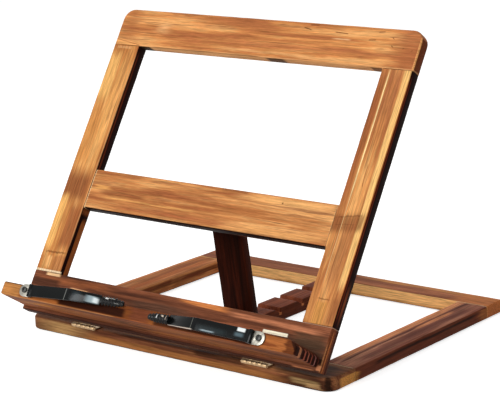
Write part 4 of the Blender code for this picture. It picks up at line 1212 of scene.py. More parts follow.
@dataclass(frozen=True)
class Base:
    """The flat base: four rails and the notched rack."""

    notches: Notches = Notches(5, 70.0, 34.0, 4.1, 7.4, 1.5, 1.0, 0.5)

    @staticmethod
    def rails() -> list[Board]:
        """The front, back, left and right rails.

        Returns:
            The boards.
        """
        return [
            # Front rail: the dark tones on its top (#2A1C14, #3B1D12, #24100A, #2E140C) are painted shadow under
            # the ledge, #1C100A paints shade on the right front corner and #CC8C46 is painted light on the right
            # end.
            Board("base_front_rail", Grain.ALONG_X, Pine(
                "front rail, scorched pine", "#A06A42", "#7C4A30", "#56301F", "#35190F", seed=1),
                {Side.BACK: CHAR_AND_SHADE}, (
                streak("#B8905C", (-172, -80), (-20, 8), 0.8, (50, 4, 2), z=(-FAR, 12)),
                streak("#A8703C", (-120, 140), (-20, 8), 0.6, (50, 4, 2.5), z=(-FAR, 7.5)),
                streak("#5E3620", (-60, 110), (-20, 8), 0.45, (40, 4, 2), z=(6, 10.4)),
                streak("#2E1A10", (112, 200), (-20, 8), 0.7, (22, 4, 2), z=(-FAR, 10.6)),
                streak("#2A1C14", (104, 168), (-4, 34), 0.75, (18, 6), z=ON_TOP),
                streak("#3B1D12", (-170, 110), (24, 40), 0.5, (20, 4)),
                patch("#E0BC98", (137, 166.5), (34.6, 40), 0.85, (4, 0.4))),
                (streak("#B88E60", (140, 161), (-20, 8), 0.6, (5, 4, 1.2), z=(1.0, 6.2)),
                 streak("#24100A", (-70, 62), (-20, 5), 0.65, (24, 2), z=(10, FAR), wander=0.4),
                 streak("#2E140C", (22, 84), (-20, 8), 0.75, (9, 4, 1.2), z=(7.6, FAR), wander=0.5),
                 streak("#A8885A", (124, 160), (-20, 8), 0.65, (9, 4, 1.8), z=(2.2, 8.8)),
                 streak("#4A3420", (128, 156), (-20, 8), 0.5, (6, 4, 0.8), z=(5.0, 6.4)),
                 streak("#1C100A", (160.5, 167.4), (-20, 7), 0.8, (2.5, 3), wander=0.4),
                 streak("#CC8C46", (150, 200), (11, 40), 0.9, (0.6, 6, 1.2), z=(-FAR, 9.6),
                        wander=0.5))),
            # Back rail: its inner face is painted bright orange (#FCC07A) as the light that falls on it from the
            # front.
            Board("base_back_rail", Grain.ALONG_X, Pine(
                "back rail, scorched pine", "#C07850", "#985A3E", "#7E4830", "#5A2C1C", seed=2),
                {Side.NEAR: ("#FCC07A", 0.9), Side.BACK: CHAR_AND_SHADE, Side.RIGHT: ("#B06434", 0.8)}, (
                streak("#4A2010", (-170, 170), (240.5, 244), 0.7, (20, 1.2), z=(8, FAR)),
                streak("#D89458", (0, 190), (258, 290), 0.75, (50, 4)),
                streak("#C87A44", (120, 190), (238, 290), 0.7, (18, 8))),
                (streak("#A86A34", (-170, 170), (236, 243.2), 0.55, (30, 0.6, 2), z=(-FAR, 3.5)),
                 patch("#E0B08A", (134, 168), (237, 242.6), 0.8, (2, 0.6), z=ON_TOP))),
            Board("base_side_rail_left", Grain.ALONG_Y, Pine(
                "left rail, scorched pine", "#DC9460", "#B4703F", "#884A2C", "#552A18", seed=3),
                {Side.BACK: CHAR_AND_SHADE}, (
                streak("#B86434", (-152, -143), (40, 240), 0.6, (2, 20)),
                streak("#C88450", (-141, -136), (120, 240), 0.6, (1.2, 25)),
                # Painted shadow: a dark strip high on the inner side.
                streak("#4A1C10", (-139, -130), (30, 250), 0.6, (1, 20, 1.5), z=(5, 10.8)))),
            # Right rail: its outer side is painted dark as shade (#5E2C1A, #1C0B06), with painted light near the
            # front (#CC8C46).
            Board("base_side_rail_right", Grain.ALONG_Y, Pine(
                "right rail, scorched pine", "#B87A5C", "#8E5440", "#6E3C2C", "#45221A", seed=4),
                {Side.RIGHT: ("#5E2C1A", 0.9), Side.BACK: CHAR_AND_SHADE}, (
                streak("#D88C5C", (130, 146), (44, 260), 0.8, (1.5, 14), wander=0.6),
                streak("#E89C68", (130, 142), (150, 260), 0.65, (1.5, 20), wander=0.6),
                streak("#3A1A10", (146.5, 149.5), (40, 260), 0.75, (0.8, 8), wander=0.5),
                streak("#C8906C", (149.8, 151.6), (40, 190), 0.6, (0.6, 14), wander=0.5),
                streak("#54281E", (153, 164), (50, 236), 0.5, (3, 20), wander=0.6),
                streak("#DC8C5A", (147.6, 153), (146, 216), 0.7, (1, 14), wander=0.3)),
                (streak("#1C0B06", (158, 200), (56, 228), 0.85, (0.6, 16, 2), z=(6.4, 10.9)),
                 streak("#8E5030", (158, 200), (36, 118), 0.55, (0.6, 14, 1.5), z=(-FAR, 3)),
                 streak("#CC8C46", (158, 200), (20, 44), 0.9, (0.6, 10, 1.2), z=(-FAR, 9.4)),
                 streak("#A86434", (158, 200), (222, 260), 0.7, (0.6, 14), z=(-FAR, 10.9)))),
        ]

    def rack(self) -> Board:
        """The rack, with a painted orange highlight low in each notch.

        Returns:
            The board.
        """
        # Painted highlights: an orange glint low in each notch.
        glow = tuple(patch("#C87848", (8, 30), (place - 2.0, place + 2.6), 0.85, (0.6, 1.0),
                           z=(5.5, 8.4)) for place in self.notches.places_mm)
        return Board("notched_rack", Grain.ALONG_Y, Pine(
            "rack, scorched pine", "#A4583A", "#84442C", "#683424", "#421E14", seed=5),
            # The right side is painted darker as shade.
            {Side.RIGHT: ("#4A2012", 0.8)}, accents_and_painted_light=glow, arris_wear_mm=0.15)

    def rack_mesh(self) -> bpy.types.Mesh:
        """Cut the notches for the leg's foot into the rack.

        Returns:
            The rack in the stand's metres.
        """
        low, high = (Vector(corner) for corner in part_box("notched_rack"))
        bm = bmesh.new()
        block = Matrix.Translation((high + low) / 2) @ Matrix.Diagonal((*(high - low), 1.0))
        bmesh.ops.create_cube(bm, size=1.0, matrix=block)
        front = assembly_matrix(Assembly.BASE).to_translation().y
        return self.notches.cut(written(bm, "rack board"), front, low, high)

    def build(self) -> None:
        """Make every board of the base."""
        for board in self.rails():
            board.build(Assembly.BASE)
        self.rack().build(Assembly.BASE, self.rack_mesh())


@dataclass(frozen=True)
class BookFrame:
    """The leaning book frame: three rails, two stiles and the ledge at its foot."""

    ridges: Notches = Notches(5, 15.6, 5.25, 0.9, 1.4, 1.4, 0.5)

    @staticmethod
    def top_rail() -> Board:
        """The top rail: a pale blob at the left, a knot's dashes at the right.

        Returns:
            The board.
        """
        nick = "#5C3018"
        dashes = [(42, 52, 294.4, -0.22), (48, 59, 298.2, 0.05), (76, 91, 292.8, -0.05),
                  (112, 121, 288.6, 0.08), (135, 139, 291.4, -0.6), (136, 140, 284.0, -0.6),
                  (148, 151, 282.9, 0.3), (157, 160, 281.6, 0.3), (120, 128, 296.5, 0.1)]
        marks = [
            streak("#9A5C36", (-170, -136), (268, 310), 0.55, (16, 6)),
            streak("#EDB77C", (-128, -98), (276, 292), 0.55, (18, 6)),
            streak("#A5653C", (-90, 22), (287, 298), 0.5, (30, 3)),
            streak("#7E4828", (-10, 20), (286.5, 290.5), 0.65, (14, 2)),
            streak("#A9653F", (-50, 166), (273, 280), 0.55, (40, 3)),
            streak("#E8AE70", (-60, 140), (266, 271), 0.55, (40, 2)),
            streak("#9C5836", (130, 190), (250, 320), 0.7, (24, 3)),
            streak("#F2C48E", (73, 97), (286, 288), 0.75, (7, 0.8), wander=0.4),
        ]
        marks += [patch(nick, (start, end), (level - 0.7, level + 0.7), 0.8, (2.0, 0.5), slope)
                  for start, end, level, slope in dashes]
        return Board("frame_top_rail", Grain.ALONG_X, Pine(
            "top rail, scorched pine", "#E8AA6A", "#CC864C", "#A4623A", "#84492A",
            contrast=0.7, seed=6),
            # The right end is painted dark as shade.
            {Side.RIGHT: ("#5A2410", 0.85), Side.BACK: CHAR_AND_SHADE, Side.NEAR: ("#D8A06A", 0.6)},
            tuple(marks),
            # Painted shade darkens the underside in its corners by the stiles (#140805, #3A1C10); #E4A262 is a
            # painted highlight along the right front arris.
            (patch("#D99A5C", (-170, -134.6), (240, 267.4), 0.8, (0.6, 0.4), -0.15),
             patch("#7A4426", (-170, -134.6), (267.2, 268.2), 0.6, (2, 0.4), -0.15),
             patch("#140805", (-140, -121), (240, 266.5), 0.95, (4, 0.4), z=(-FAR, 11.6)),
             patch("#6A4426", (-124, 8), (240, 266.5), 0.6, (8, 0.4, 0.4), z=(10.8, 12.2)),
             patch("#1C0B06", (8, 34), (240, 266), 0.85, (6, 0.4), z=(-FAR, 11.6)),
             patch("#3A1C10", (121, 134.4), (240, 266.4), 0.7, (2, 0.4), z=(-FAR, 11.6)),
             patch("#E4A262", (163.6, 200), (250, 310), 0.75, (0.4, 6, 0.5), z=(11.2, FAR))))

    @staticmethod
    def middle_rail() -> Board:
        """The middle rail: red-brown streaks, with yellower bands towards the right.

        Returns:
            The board.
        """
        return Board("frame_middle_rail", Grain.ALONG_X, Pine(
            "middle rail, scorched pine", "#E8AA6A", "#C2804A", "#985A34", "#74402A", seed=7),
            # The underside is painted near black as shade.
            {Side.NEAR: ("#1E0A05", 1.0), Side.BACK: CHAR_AND_SHADE}, (
            streak("#E2A45C", (-131, -108), (122, 128), 0.6, (8, 2)),
            streak("#85492A", (-126, -64), (119, 124.5), 0.65, (12, 2)),
            streak("#9A5A36", (-85, 30), (125, 131), 0.6, (20, 2.5)),
            streak("#DDA05C", (-120, -6), (114.5, 118), 0.6, (16, 1.5)),
            streak("#A9613C", (-110, 60), (106, 113), 0.5, (25, 3)),
            streak("#8A5230", (10, 44), (138.6, 143), 0.7, (5, 1.2)),
            streak("#EAAE6C", (20, 140), (132, 140), 0.6, (30, 3)),
            streak("#A06034", (0, 140), (117, 129), 0.5, (30, 3)),
            streak("#E8AA68", (10, 140), (105, 112.5), 0.55, (25, 2)),
            patch("#4A2412", (78, 80.5), (134, 136.5), 0.8, (1, 1))),
            # Painted highlights: pale lines at both joints with the stiles (#F0CC9A, #E8BC88).
            (patch("#F0CC9A", (-140, -133.2), (98, 142), 0.85, (0.5, 1)),
             patch("#E8BC88", (133.4, 140), (98, 142), 0.5, (0.6, 1)),
             patch("#7A4428", (20, 134), (98, 104.4), 0.8, (30, 0.4), z=(-FAR, 5.5))))

    @staticmethod
    def bottom_rail() -> Board:
        """The bottom rail: the darkest of the front boards, with two orange flashes.

        Returns:
            The board.
        """
        return Board("frame_bottom_rail", Grain.ALONG_X, Pine(
            "bottom rail, scorched pine", "#9A5C3E", "#74442E", "#502E20", "#38201A", seed=8),
            # The right end is painted darker as shade.
            {Side.NEAR: CHAR_AND_SHADE, Side.BACK: CHAR_AND_SHADE, Side.RIGHT: ("#6E3820", 0.85)}, (
            streak("#A66038", (-170, -60), (30, 38), 0.5, (30, 3)),
            streak("#4A2C20", (-170, -128), (25, 35), 0.85, (8, 2.5), wander=0.4),
            streak("#4A3A30", (-60, 30), (14, 32), 0.6, (25, 5)),
            streak("#D88448", (0, 66), (34.6, 42), 0.85, (18, 1.2), -0.03, wander=0.3),
            streak("#8C5238", (60, 140), (30, 39), 0.5, (20, 4)),
            streak("#3E2E24", (104, 175), (2, 30), 0.75, (18, 6)),
            streak("#54402E", (128, 166), (16, 34), 0.5, (10, 5))),
            # Painted highlights: the pale bar above the ledge's right end (#FFF6DA), the cream line at the left
            # joint (#F0C490), the streak above the left clip (#ECB07C) and the light lines along the right arris
            # and end (#C88A58, #B86A38).
            (patch("#D8A888", (134, 170), (38.6, 44), 0.6, (3, 0.5)),
             patch("#ECB07C", (-119, -94), (27.3, 29.6), 0.9, (5, 0.7), -0.03, z=ON_TOP),
             patch("#F0C490", (-152, -132), (36.4, 44), 0.85, (4, 0.6), z=ON_FACE),
             patch("#FFF6DA", (99.5, 126), (24.1, 27.4), 1.0, (1.2, 0.4), z=ON_FACE),
             streak("#C8805A", (56, 162), (30.6, 36.4), 0.7, (16, 1.6), -0.02, z=ON_TOP, wander=0.25),
             patch("#36180E", (-60, 130), (-FAR, 4.8), 0.45, (20, 0.6)),
             patch("#B8744C", (136, 162), (1.6, 3.2), 0.7, (6, 0.5), z=ON_FACE),
             patch("#1C0A06", (161.6, 170), (7.8, 13), 0.75, (0.6, 1.5), z=ON_FACE),
             patch("#D88C60", (161, 170), (2.2, 7.6), 0.7, (1.5, 1.0), z=ON_FACE),
             patch("#C88A58", (164.6, 166.4), (-FAR, 30), 0.6, (0.4, 12), z=ON_FACE),
             patch("#B86A38", (162, 200), (-FAR, 40), 0.8, (0.3, 8, 0.8), z=(7.6, 9.8)),
             patch("#2A0E08", (162, 200), (-FAR, 42), 0.8, (0.3, 3, 0.8), z=(2.4, 6.0))))

    @staticmethod
    def left_stile() -> Board:
        """The left stile: straw yellow outside, brown where the flame lingered.

        Returns:
            The board.
        """
        return Board("frame_stile_left", Grain.ALONG_Y, Pine(
            "left stile, scorched pine", "#E8AC68", "#CC8A4C", "#A46436", "#84502C", seed=10),
            # The inner side is painted near black as shade.
            {Side.RIGHT: ("#1E0805", 1.0), Side.BACK: CHAR_AND_SHADE}, (
            streak("#EDB76C", (-170, -150), (204, 262), 0.65, (4, 14)),
            streak("#BE7E42", (-170, -146), (140, 206), 0.6, (5, 14)),
            streak("#E0A660", (-150, -143), (150, 262), 0.5, (2.5, 20)),
            streak("#844A2C", (-170, -134), (100, 146), 0.85, (6, 18), wander=0.5),
            streak("#8E4E2E", (-151, -130), (56, 112), 0.8, (3.5, 14), wander=0.5),
            streak("#9A5834", (-149, -130), (30, 58), 0.6, (3, 4), wander=0.5),
            streak("#EEB468", (-166, -155), (58, 118), 0.8, (2, 10), wander=0.4),
            streak("#4E2614", (-163, -134), (57.0, 60.2), 0.65, (6, 1.6), 0.02, wander=0.2),
            streak("#E8B070", (-157, -149), (42, 56), 0.75, (2.5, 3), wander=0.3),
            streak("#A8602E", (-170, -159), (38, 56), 0.6, (2.5, 4), wander=0.4)),
            # Painted highlights: the cream lines at the foot and top joints (#F6DCB4, #E8B47C) and the orange
            # inner arris (#E8A468); the orange low on the inner side is painted light (#B0622F, #A85C2E).
            (patch("#F6DCB4", (-166, -132), (36, 42), 0.9, (2, 0.6), z=ON_FACE),
             patch("#E8B47C", (-162, -142), (260, 263.4), 0.35, (3, 1), z=ON_FACE),
             patch("#E8A468", (-136.4, -134.4), (60, 262), 0.5, (0.5, 20), z=(11.8, FAR)),
             streak("#8A3C20", (-140, -130), (104, 262), 0.5, (0.3, 16, 1.5), z=(8.5, 11.6)),
             streak("#B0622F", (-140, -130), (30, 96), 0.9, (0.3, 8, 1), z=(-FAR, 9), wander=0.3),
             patch("#A85C2E", (-140, -130), (96, 106), 0.7, (0.3, 5), z=(-FAR, 11.4))))

    @staticmethod
    def right_stile() -> Board:
        """The right stile: a straw line down its length and a burn across it.

        Returns:
            The board.
        """
        return Board("frame_stile_right", Grain.ALONG_Y, Pine(
            "right stile, scorched pine", "#E6AA68", "#D08C50", "#A4643A", "#7C482C", seed=11),
            # The right side is painted near black as shade.
            {Side.RIGHT: ("#190704", 1.0), Side.BACK: CHAR_AND_SHADE}, (
            streak("#9A5832", (130, 141.8), (108, 270), 0.45, (0.6, 20), wander=0.15),
            streak("#8A4E2E", (130, 141.8), (165, 280), 0.55, (0.6, 30), wander=0.15),
            streak("#96583A", (144.5, 157.5), (205, 280), 0.6, (1.2, 26), wander=0.25),
            streak("#9A5A36", (145, 157), (60, 140), 0.6, (2, 24), wander=0.4),
            streak("#A8683C", (147, 154), (190, 266), 0.6, (2, 16)),
            streak("#EDBC74", (157.8, 166), (66, 280), 0.85, (1.2, 14), wander=0.2),
            streak("#743E22", (149.4, 151), (158, 178), 0.7, (0.6, 3)),
            streak("#6E3A22", (130, 166), (116, 137), 0.62, (4, 7), 0.15, wander=0.5),
            streak("#5A2E1A", (136, 162), (131.6, 134), 0.45, (4, 1.0), 0.18, wander=0.15),
            streak("#5A2E1A", (134, 158), (124.6, 126), 0.35, (5, 0.8), 0.12, wander=0.15),
            streak("#C48846", (140, 156), (38, 60.0), 0.8, (5, 2.5), wander=0.15),
            streak("#8A5230", (157, 165), (38, 66), 0.6, (1.5, 6), wander=0.3),
            streak("#5A2E18", (141, 156), (60.0, 62.0), 0.65, (4, 1.0), wander=0.1)),
            (streak("#F2CC90", (142.7, 143.9), (66, 160), 0.65, (0.5, 20), z=ON_FACE, wander=0.12),
             streak("#FADA9C", (142.5, 144.2), (140, 270), 0.85, (0.5, 20), z=ON_FACE, wander=0.12),
             # Painted highlight: the orange line along the right front arris (#B8602E); the lighter strips on the
             # right side are painted light (#7A2E18, #8A4424).
             patch("#B8602E", (163.9, 165.2), (60, 262), 0.6, (0.4, 14), z=(11.6, FAR)),
             streak("#7A2E18", (160, 200), (40, 262), 0.6, (0.4, 14, 1), z=(9.4, 12), wander=0.3),
             streak("#8A4424", (160, 200), (38, 84), 0.7, (0.4, 20, 1), z=(5, 9), wander=0.3)))

    @staticmethod
    def ledge() -> Board:
        """The ledge: an orange front edge, an underside painted darker as shade at its back and right, a worn,
        ridged right end and painted shadows of the clips' arms on its front.

        Returns:
            The board.
        """
        front = (46, FAR)
        ridges = tuple(
            patch(tone, (160, FAR), (3, 20), 0.9, (0.4, 1.5, 0.5), z=(level - half, level + half))
            for tone, level, half in (("#B0704C", 41.0, 1.9), ("#9C503C", 33.4, 1.4),
                                      ("#A05A44", 28.5, 1.0), ("#8E4432", 23.4, 0.9),
                                      ("#946058", 18.0, 0.9), ("#6A3428", 13.4, 0.6)))
        return Board("ledge", Grain.ALONG_X, Pine(
            "ledge, scorched pine", "#A0602F", "#7E451F", "#5B2D18", "#3C1C12", seed=12),
            # The right end is darkened: end grain together with painted shade.
            {Side.RIGHT: ("#2A100A", 0.92), Side.BACK: CHAR_AND_SHADE}, (
            streak("#B4602E", (-170, -70), (0, 5.5), 0.7, (30, 2), z=(-FAR, 30)),
            streak("#C88034", (-170, -60), (0, 5.5), 0.75, (30, 2, 2), z=(28, 47)),
            # Painted shade on the back of the underside.
            streak("#220D07", (-60, 166), (0, 5.5), 0.9, (40, 2, 2), z=(4, 39)),
            streak("#A85C2C", (-40, 166), (0, 5.5), 0.4, (20, 2), z=(38, 47)),
            streak("#C87C40", (-170, -146), (0, 20), 0.7, (8, 3), z=front, wander=0.4),
            streak("#A8622F", (-150, -86), (0, 9.5), 0.7, (8, 2), z=front, wander=0.4),
            # Painted shadows of the clips' arms on the front (#200804, #260E08); #9A5632 is a painted highlight
            # along the front bottom arris.
            patch("#200804", (-96, -14), (5.6, 14), 0.92, (6, 1.0), z=front),
            streak("#6A3826", (-14, 14), (0, 20), 0.7, (8, 4), z=front, wander=0.5),
            streak("#260E08", (14, 122), (4.5, 10), 0.8, (5, 1.5), z=front, wander=0.3),
            streak("#9A5632", (-160, 150), (0, 6.0), 0.6, (10, 0.6), z=front, wander=0.3),
            streak("#B06836", (126, 154), (0, 18), 0.75, (4, 4), z=front, wander=0.6),
            streak("#6A3016", (128, 146), (7.4, 10.4), 0.7, (5, 1.2), z=front, wander=0.7),
            streak("#7C4024", (-166, 150), (14, 20), 0.5, (6, 0.6), z=(13, 46))),
            # C08A54 is a painted highlight on the front bottom arris and #3A1A0E a painted shadow along the top
            # front edge at the right.
            (patch("#B87E46", (-170, -138), (0, 16.2), 0.75, (4, 0.5), z=front),
             patch("#3E2214", (-170, -134), (15.7, 20), 0.85, (6, 0.4), z=front),
             patch("#3E2214", (-170, -160.9), (-FAR, FAR), 0.75, (0.4, 1), z=front),
             patch("#C08A54", (-150, -24), (-FAR, 5.7), 0.7, (8, 0.4), z=(46.8, FAR)),
             patch("#3A1A0E", (100, 154), (16.2, 20), 0.7, (3, 0.4), z=(46.6, FAR)),
             # These darken the right end: end grain together with painted shade.
             streak("#24100A", (150, 178), (4.5, FAR), 0.85, (1, 2), -1.27, z=(44, FAR), wander=0.1),
             patch("#2A100A", (159, FAR), (-FAR, FAR), 0.9, (1.5, 1), z=(-FAR, 44)),
             patch("#3A160C", (149, FAR), (11.4, FAR), 0.85, (2, 0.6), z=(-FAR, 46.4)),
             *ridges),
            station_mm=2.5, worn_from_mm=150.0, worn_drop_mm=4.8)

    def ledge_mesh(self) -> bpy.types.Mesh:
        """Cut the ridges that a saw left into the ledge's right end.

        The notches are cut from above, so the ledge is stood on its left end for it.

        Returns:
            The ledge in the stand's metres.
        """
        stood_up = Matrix(((0, 1, 0, 0), (0, 0, 1, 0), (1, 0, 0, 0), (0, 0, 0, 1)))
        home = stood_up @ assembly_matrix(Assembly.BOOK_FRAME).inverted()
        bm = merged_copy("ledge")
        bm.transform(home)
        low, high = extent(bm)
        return self.ridges.cut(written(bm, "ledge board"), 0.0, low, high, home.inverted())

    def build(self) -> None:
        """Make every board of the frame."""
        for board in (self.top_rail(), self.middle_rail(), self.bottom_rail(),
                      self.left_stile(), self.right_stile()):
            board.build(Assembly.BOOK_FRAME)
        self.ledge().build(Assembly.BOOK_FRAME, self.ledge_mesh())


@dataclass(frozen=True)
class Leg:
    """The propping leg behind the middle rail, coloured near black, partly as painted shade."""

    slot: str = "dark_pine"

    def build(self) -> None:
        """Make the leg."""
        glow = (streak("#6A2E16", (-13, -8), (6, 112), 0.55, (1.5, 24), wander=0.5),
                streak("#5A2A18", (3, 5), (10, 100), 0.5, (1, 20), wander=0.5),
                streak("#7A3A20", (14.4, 20), (6, 118), 0.6, (0.6, 20), wander=0.3))
        # The near-black tones are partly the leg's dark wood and partly painted shade behind the frame.
        Board("support_leg", Grain.ALONG_Y, Pine(
            "leg, charred_and_shaded pine", "#481C0E", "#2C0F07", "#1C0904", "#0E0503", seed=13),
            marks=glow, slot=self.slot).build(Assembly.LEG)


@dataclass(frozen=True)
class ButtHinge:
    """A brassed butt hinge: two leaves and the pin, each with the body that carries it."""

    name: str
    pieces: dict[str, str]
    finish: bpy.types.Material
    edge_mm: float = 0.15

    def build(self) -> None:
        """Make the leaves and the pin."""
        for piece, body in self.pieces.items():
            hardware_piece(self.name + "_" + piece, body, self.finish,
                           self.edge_mm)


@dataclass(frozen=True)
class PageClip:
    """A swivelling page clip: a zinc plate, a bent enamelled arm and a ribbed rubber grip."""

    side: str
    inwards: Vector
    hardware: Hardware
    # Painted reflections on the arm and painted glints on the grip.
    arm_painted_reflections: tuple[Mark, ...]
    grip_painted_glints: tuple[Mark, ...]
    edge_mm: float = 0.25

    def build(self) -> None:
        """Make the clip's pieces."""
        body = "page_clip_" + self.side
        matrix = assembly_matrix(Assembly.BOOK_FRAME)
        enamel = self.hardware.enamel.material(matrix, self.arm_painted_reflections)
        hardware_piece(body + "_plate", body, self.hardware.zinc, self.edge_mm)
        hardware_piece(body + "_arm", body, enamel, self.edge_mm)
        rubber = self.hardware.rubber.material(matrix, self.grip_painted_glints)
        RibbedGrips().build(body + "_grip", body, self.inwards, rubber)


def page_clips(hardware: Hardware) -> list[PageClip]:
    """Both clips, each with the reflections painted on its enamel and the glints painted on its grip.

    Args:
        hardware: The shared finishes.

    Returns:
        The clips.
    """
    # Painted reflections on each arm: pale and bluish patches, light lines at the crease and along the lower edge,
    # and a darker bluish film.
    left = (
        patch("#2A3438", (-74, -60), (8, 20), 0.6, (6, 3)),
        patch("#9FB0B4", (-60, -42.2), (11.4, 18.2), 0.85, (7, 0.9)),
        patch("#E8F0F0", (-52, -42.4), (12.0, 17.2), 0.8, (4, 1.0), -0.1),
        patch("#8C8C86", (-79.3, -78.3), (0, 30), 0.75, (0.4, 1)),
        patch("#A8A8A0", (-93, -82), (7.0, 8.6), 0.7, (3, 0.5)))
    right = (
        patch("#1E2A2C", (66, 100), (6, 13), 0.6, (8, 3)),
        patch("#93A2A8", (71, 88), (6.9, 8.8), 0.8, (5, 0.7), 0.02),
        patch("#5C7078", (103, 114.6), (8.4, 13.4), 0.7, (4, 2)),
        patch("#EEF2F0", (105.4, 114.2), (13.2, 17.2), 0.92, (1.6, 0.9)),
        patch("#6E6E66", (62.2, 63.2), (0, 30), 0.75, (0.4, 1)),
        patch("#C9B8A8", (33, 66), (5.6, 7.4), 0.8, (3, 0.4)))
    # Painted glints on each grip.
    left_grip = (
        patch("#B8B8B2", (-40, -27), (18.6, 19.6), 0.8, (2, 0.5), 0.02),
        patch("#F0F0EC", (-38, -34), (17.6, 19.2), 0.85, (0.8, 0.6)),
        patch("#8C8C86", (-28, -22), (15.2, 16.2), 0.7, (1.5, 0.5)))
    right_grip = (
        patch("#F4F4F0", (20.8, 22.8), (10.4, 14.6), 0.9, (0.5, 0.9)),
        patch("#E8D8C4", (26, 30), (12.4, 14.2), 0.85, (1.2, 0.5), -0.3),
        patch("#A89888", (31.5, 33.0), (10.0, 14.6), 0.75, (0.4, 1.0)))
    return [PageClip("left", Vector((1.0, 0.0, 0.0)), hardware, left, left_grip),
            PageClip("right", Vector((-1.0, 0.0, 0.0)), hardware, right, right_grip)]


@dataclass(frozen=True)
class Lamp:
    """A square soft lamp that faces the stand: its place and width in metres, its power in watts."""

    name: str
    place: Triple
    width: float
    power: float

    def build(self, aim: Vector) -> None:
        """Add the lamp.

        Args:
            aim: The spot that it faces.
        """
        data = bpy.data.lights.new(self.name, "AREA")
        data.size = self.width
        data.energy = self.power
        turn = (aim - Vector(self.place)).to_track_quat("-Z", "Y").to_matrix().to_4x4()
        placed(self.name, data).matrix_world = Matrix.Translation(self.place) @ turn


@dataclass(frozen=True)
class Studio:
    """A pale floor, soft lamps and the camera at the photograph's place."""

    camera_place_mm: Triple = (1008.4, -1290.2, 500.9)
    camera_yaw: float = 0.67197
    camera_pitch: float = -0.22517
    camera_roll: float = -0.0325
    focal_px: float = 1877.1
    centre_px: tuple[float, float] = (246.68, 185.31)
    image_px: tuple[int, int] = (500, 402)
    sensor_mm: float = 36.0
    nearest_m: float = 0.05
    floor_m: float = 6.0
    floor_gap_mm: float = 0.3
    floor_roughness: float = 0.9
    floor_glow: float = 0.62
    daylight: float = 0.36
    aim_m: Triple = (0.0, 0.0, 0.1)
    lamps: tuple[Lamp, ...] = (Lamp("key", (-0.75, -2.5, 1.5), 1.2, 50.0),
                               Lamp("front fill", (0.9, -2.1, 0.7), 1.2, 8.0),
                               Lamp("top", (0.0, 0.3, 2.2), 1.6, 10.0))

    def build(self) -> None:
        """Set up the floor, the light and the camera."""
        self.camera()
        self.floor()
        self.world()
        for lamp in self.lamps:
            lamp.build(Vector(self.aim_m))
        bpy.context.scene.view_settings.view_transform = "Standard"

    def camera(self) -> None:
        """Place the camera and set its lens and its shift from the pixel values."""
        data = bpy.data.cameras.new("camera")
        width, height = self.image_px
        data.sensor_width = self.sensor_mm
        data.lens = self.focal_px / width * self.sensor_mm
        data.shift_x = (width / 2 - self.centre_px[0]) / width
        data.shift_y = (self.centre_px[1] - height / 2) / width
        data.clip_start = self.nearest_m
        camera = placed("camera", data)
        turn = Matrix.Rotation(self.camera_yaw, 4, "Z")
        turn = turn @ Matrix.Rotation(math.pi / 2 + self.camera_pitch, 4, "X")
        turn = turn @ Matrix.Rotation(self.camera_roll, 4, "Z")
        camera.matrix_world = Matrix.Translation(Vector(self.camera_place_mm) * MM) @ turn
        bpy.context.scene.camera = camera

    def floor(self) -> None:
        """Lay the pale floor, white to the camera where nothing shades it."""
        half = self.floor_m / 2
        mesh = bpy.data.meshes.new("floor")
        level = -self.floor_gap_mm * MM
        corners = ((-half, -half), (half, -half), (half, half), (-half, half))
        mesh.from_pydata([(*corner, level) for corner in corners], [], [(0, 1, 2, 3)])
        floor = placed("floor", mesh)
        material, tree, shader = new_material("matt white board")
        feed(tree, shader, {"Base Color": linear("#F2F2F0"), "Roughness": self.floor_roughness})
        glow = add(tree, "ShaderNodeEmission", {"Color": WHITE, "Strength": self.floor_glow})
        both = add(tree, "ShaderNodeAddShader", {0: shader, 1: glow})
        mixed = add(tree, "ShaderNodeMixShader", {0: self.seen(tree), 1: shader, 2: both})
        feed(tree, tree.nodes["Material Output"], {"Surface": mixed})
        mesh.materials.append(material)

    @staticmethod
    def seen(tree: bpy.types.NodeTree) -> bpy.types.Node:
        """Tell the rays that show a surface to the eye from those that only light things.

        Args:
            tree: The material's or the world's tree.

        Returns:
            A node that gives one for a ray from the camera, or in gloss or glass.
        """
        path = add(tree, "ShaderNodeLightPath").outputs
        seen = path["Is Camera Ray"]
        for kind in ("Is Glossy Ray", "Is Transmission Ray"):
            seen = add(tree, MATH, {0: seen, 1: path[kind]}, operation="MAXIMUM")
        return seen

    def world(self) -> None:
        """A white surround to the eye that lights the stand more weakly."""
        world = bpy.data.worlds.new("studio")
        bpy.context.scene.world = world
        world.use_nodes = True
        tree = world.node_tree
        tree.nodes.clear()
        low = add(tree, BACKGROUND, {"Color": linear("#F4F6FA"), "Strength": self.daylight})
        high = add(tree, BACKGROUND, {"Color": WHITE, "Strength": 1.0})
        mixed = add(tree, "ShaderNodeMixShader", {0: self.seen(tree), 1: low, 2: high})
        add(tree, "ShaderNodeOutputWorld", {"Surface": mixed})


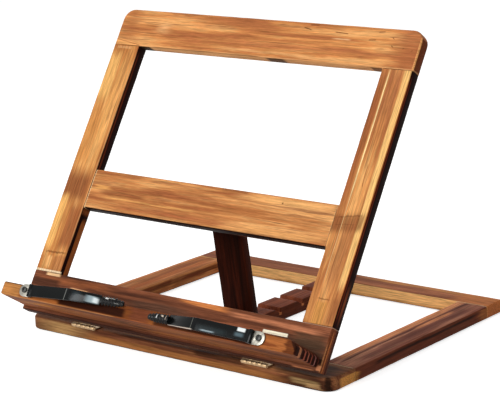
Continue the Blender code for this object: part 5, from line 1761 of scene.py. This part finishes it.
@dataclass
class BookStand:
    """The whole stand."""

    hardware: Hardware
    hinge_head_mm: Triple = (1.85, 0.9, 0.12)
    pivot_head_mm: Triple = (2.7, 1.1, 0.45)
    hinge_shank_mm: tuple[float, float] = (0.95, 5.5)
    leg_hinge_shank_mm: tuple[float, float] = (0.95, 4.2)
    ledge_shank_mm: tuple[float, float] = (0.95, 27.0)
    pivot_shank_mm: tuple[float, float] = (1.25, 10.0)

    def build(self) -> None:
        """Make every sub-assembly in order."""
        Base().build()
        BookFrame().build()
        Leg().build()
        self.hinges()
        self.screws()
        for clip in page_clips(self.hardware):
            clip.build()
        self.tenons()

    def hinges(self) -> None:
        """The two front hinges and the leg's hinge."""
        front = {"base_leaf": "base", "frame_leaf": "book_frame", "pin": "base"}
        back = {"frame_leaf": "book_frame", "leg_leaf": "support_leg", "pin": "book_frame"}
        for name, pieces in (("front_hinge_left", front), ("front_hinge_right", front),
                             ("leg_hinge", back)):
            ButtHinge(name, pieces, self.hardware.brassed).build()

    def screws(self) -> None:
        """Every screw, in groups that face the same way on the same body."""
        out = assembly_matrix(Assembly.BOOK_FRAME).to_3x3() @ UP
        leg_back = assembly_matrix(Assembly.LEG).to_3x3() @ UP
        brass = ("brassed_steel", self.hardware.brassed)
        zinc = ("zinc_plate", self.hardware.zinc)
        pivot = ("zinc_plate", self.hardware.screw)
        leaves = ["front_hinge_left_%s_leaf", "front_hinge_right_%s_leaf"]
        groups = (
            ("base_hinge_screws", self.pairs([leaf % "base" for leaf in leaves]), "base", brass,
             UP, self.hinge_head_mm, self.hinge_shank_mm),
            ("frame_hinge_screws", self.pairs([leaf % "frame" for leaf in leaves]), "book_frame",
             brass, -out, self.hinge_head_mm, self.hinge_shank_mm),
            ("leg_hinge_frame_screws", self.pairs(["leg_hinge_frame_leaf"]), "book_frame", brass,
             -out, self.hinge_head_mm, self.leg_hinge_shank_mm),
            ("leg_hinge_leg_screws", self.pairs(["leg_hinge_leg_leaf"]), "support_leg", brass,
             leg_back, self.hinge_head_mm, self.leg_hinge_shank_mm),
            ("ledge_screws", ["ledge_screw_" + place for place in ("left", "middle", "right")],
             "book_frame", zinc, -out, self.hinge_head_mm, self.ledge_shank_mm),
            ("page_clip_screws", ["page_clip_left_screw", "page_clip_right_screw"], "book_frame",
             pivot, out, self.pivot_head_mm, self.pivot_shank_mm))
        for seed, (name, nodes, body, (slot, finish), axis, head, shank) in enumerate(groups, 1):
            SlottedScrews().build(name, nodes, body, slot, axis, finish, head, shank, seed)

    @staticmethod
    def pairs(leaves: list[str]) -> list[str]:
        """The two screws of every hinge leaf, by the names of their nodes."""
        return [leaf + "_screw_%d" % number for leaf in leaves for number in (1, 2)]

    def tenons(self) -> None:
        """Give the hidden tenons their beech."""
        for name, node in frame["nodes"].items():
            if "tenon" in name:
                node.data.materials.clear()
                node.data.materials.append(self.hardware.beech)


def main() -> None:
    """Build the stand and the studio around it."""
    logging.basicConfig(level=logging.INFO, format="%(name)s: %(message)s")
    BookStand(make_hardware()).build()
    Studio().build()


if __name__ == "__main__":
    main()
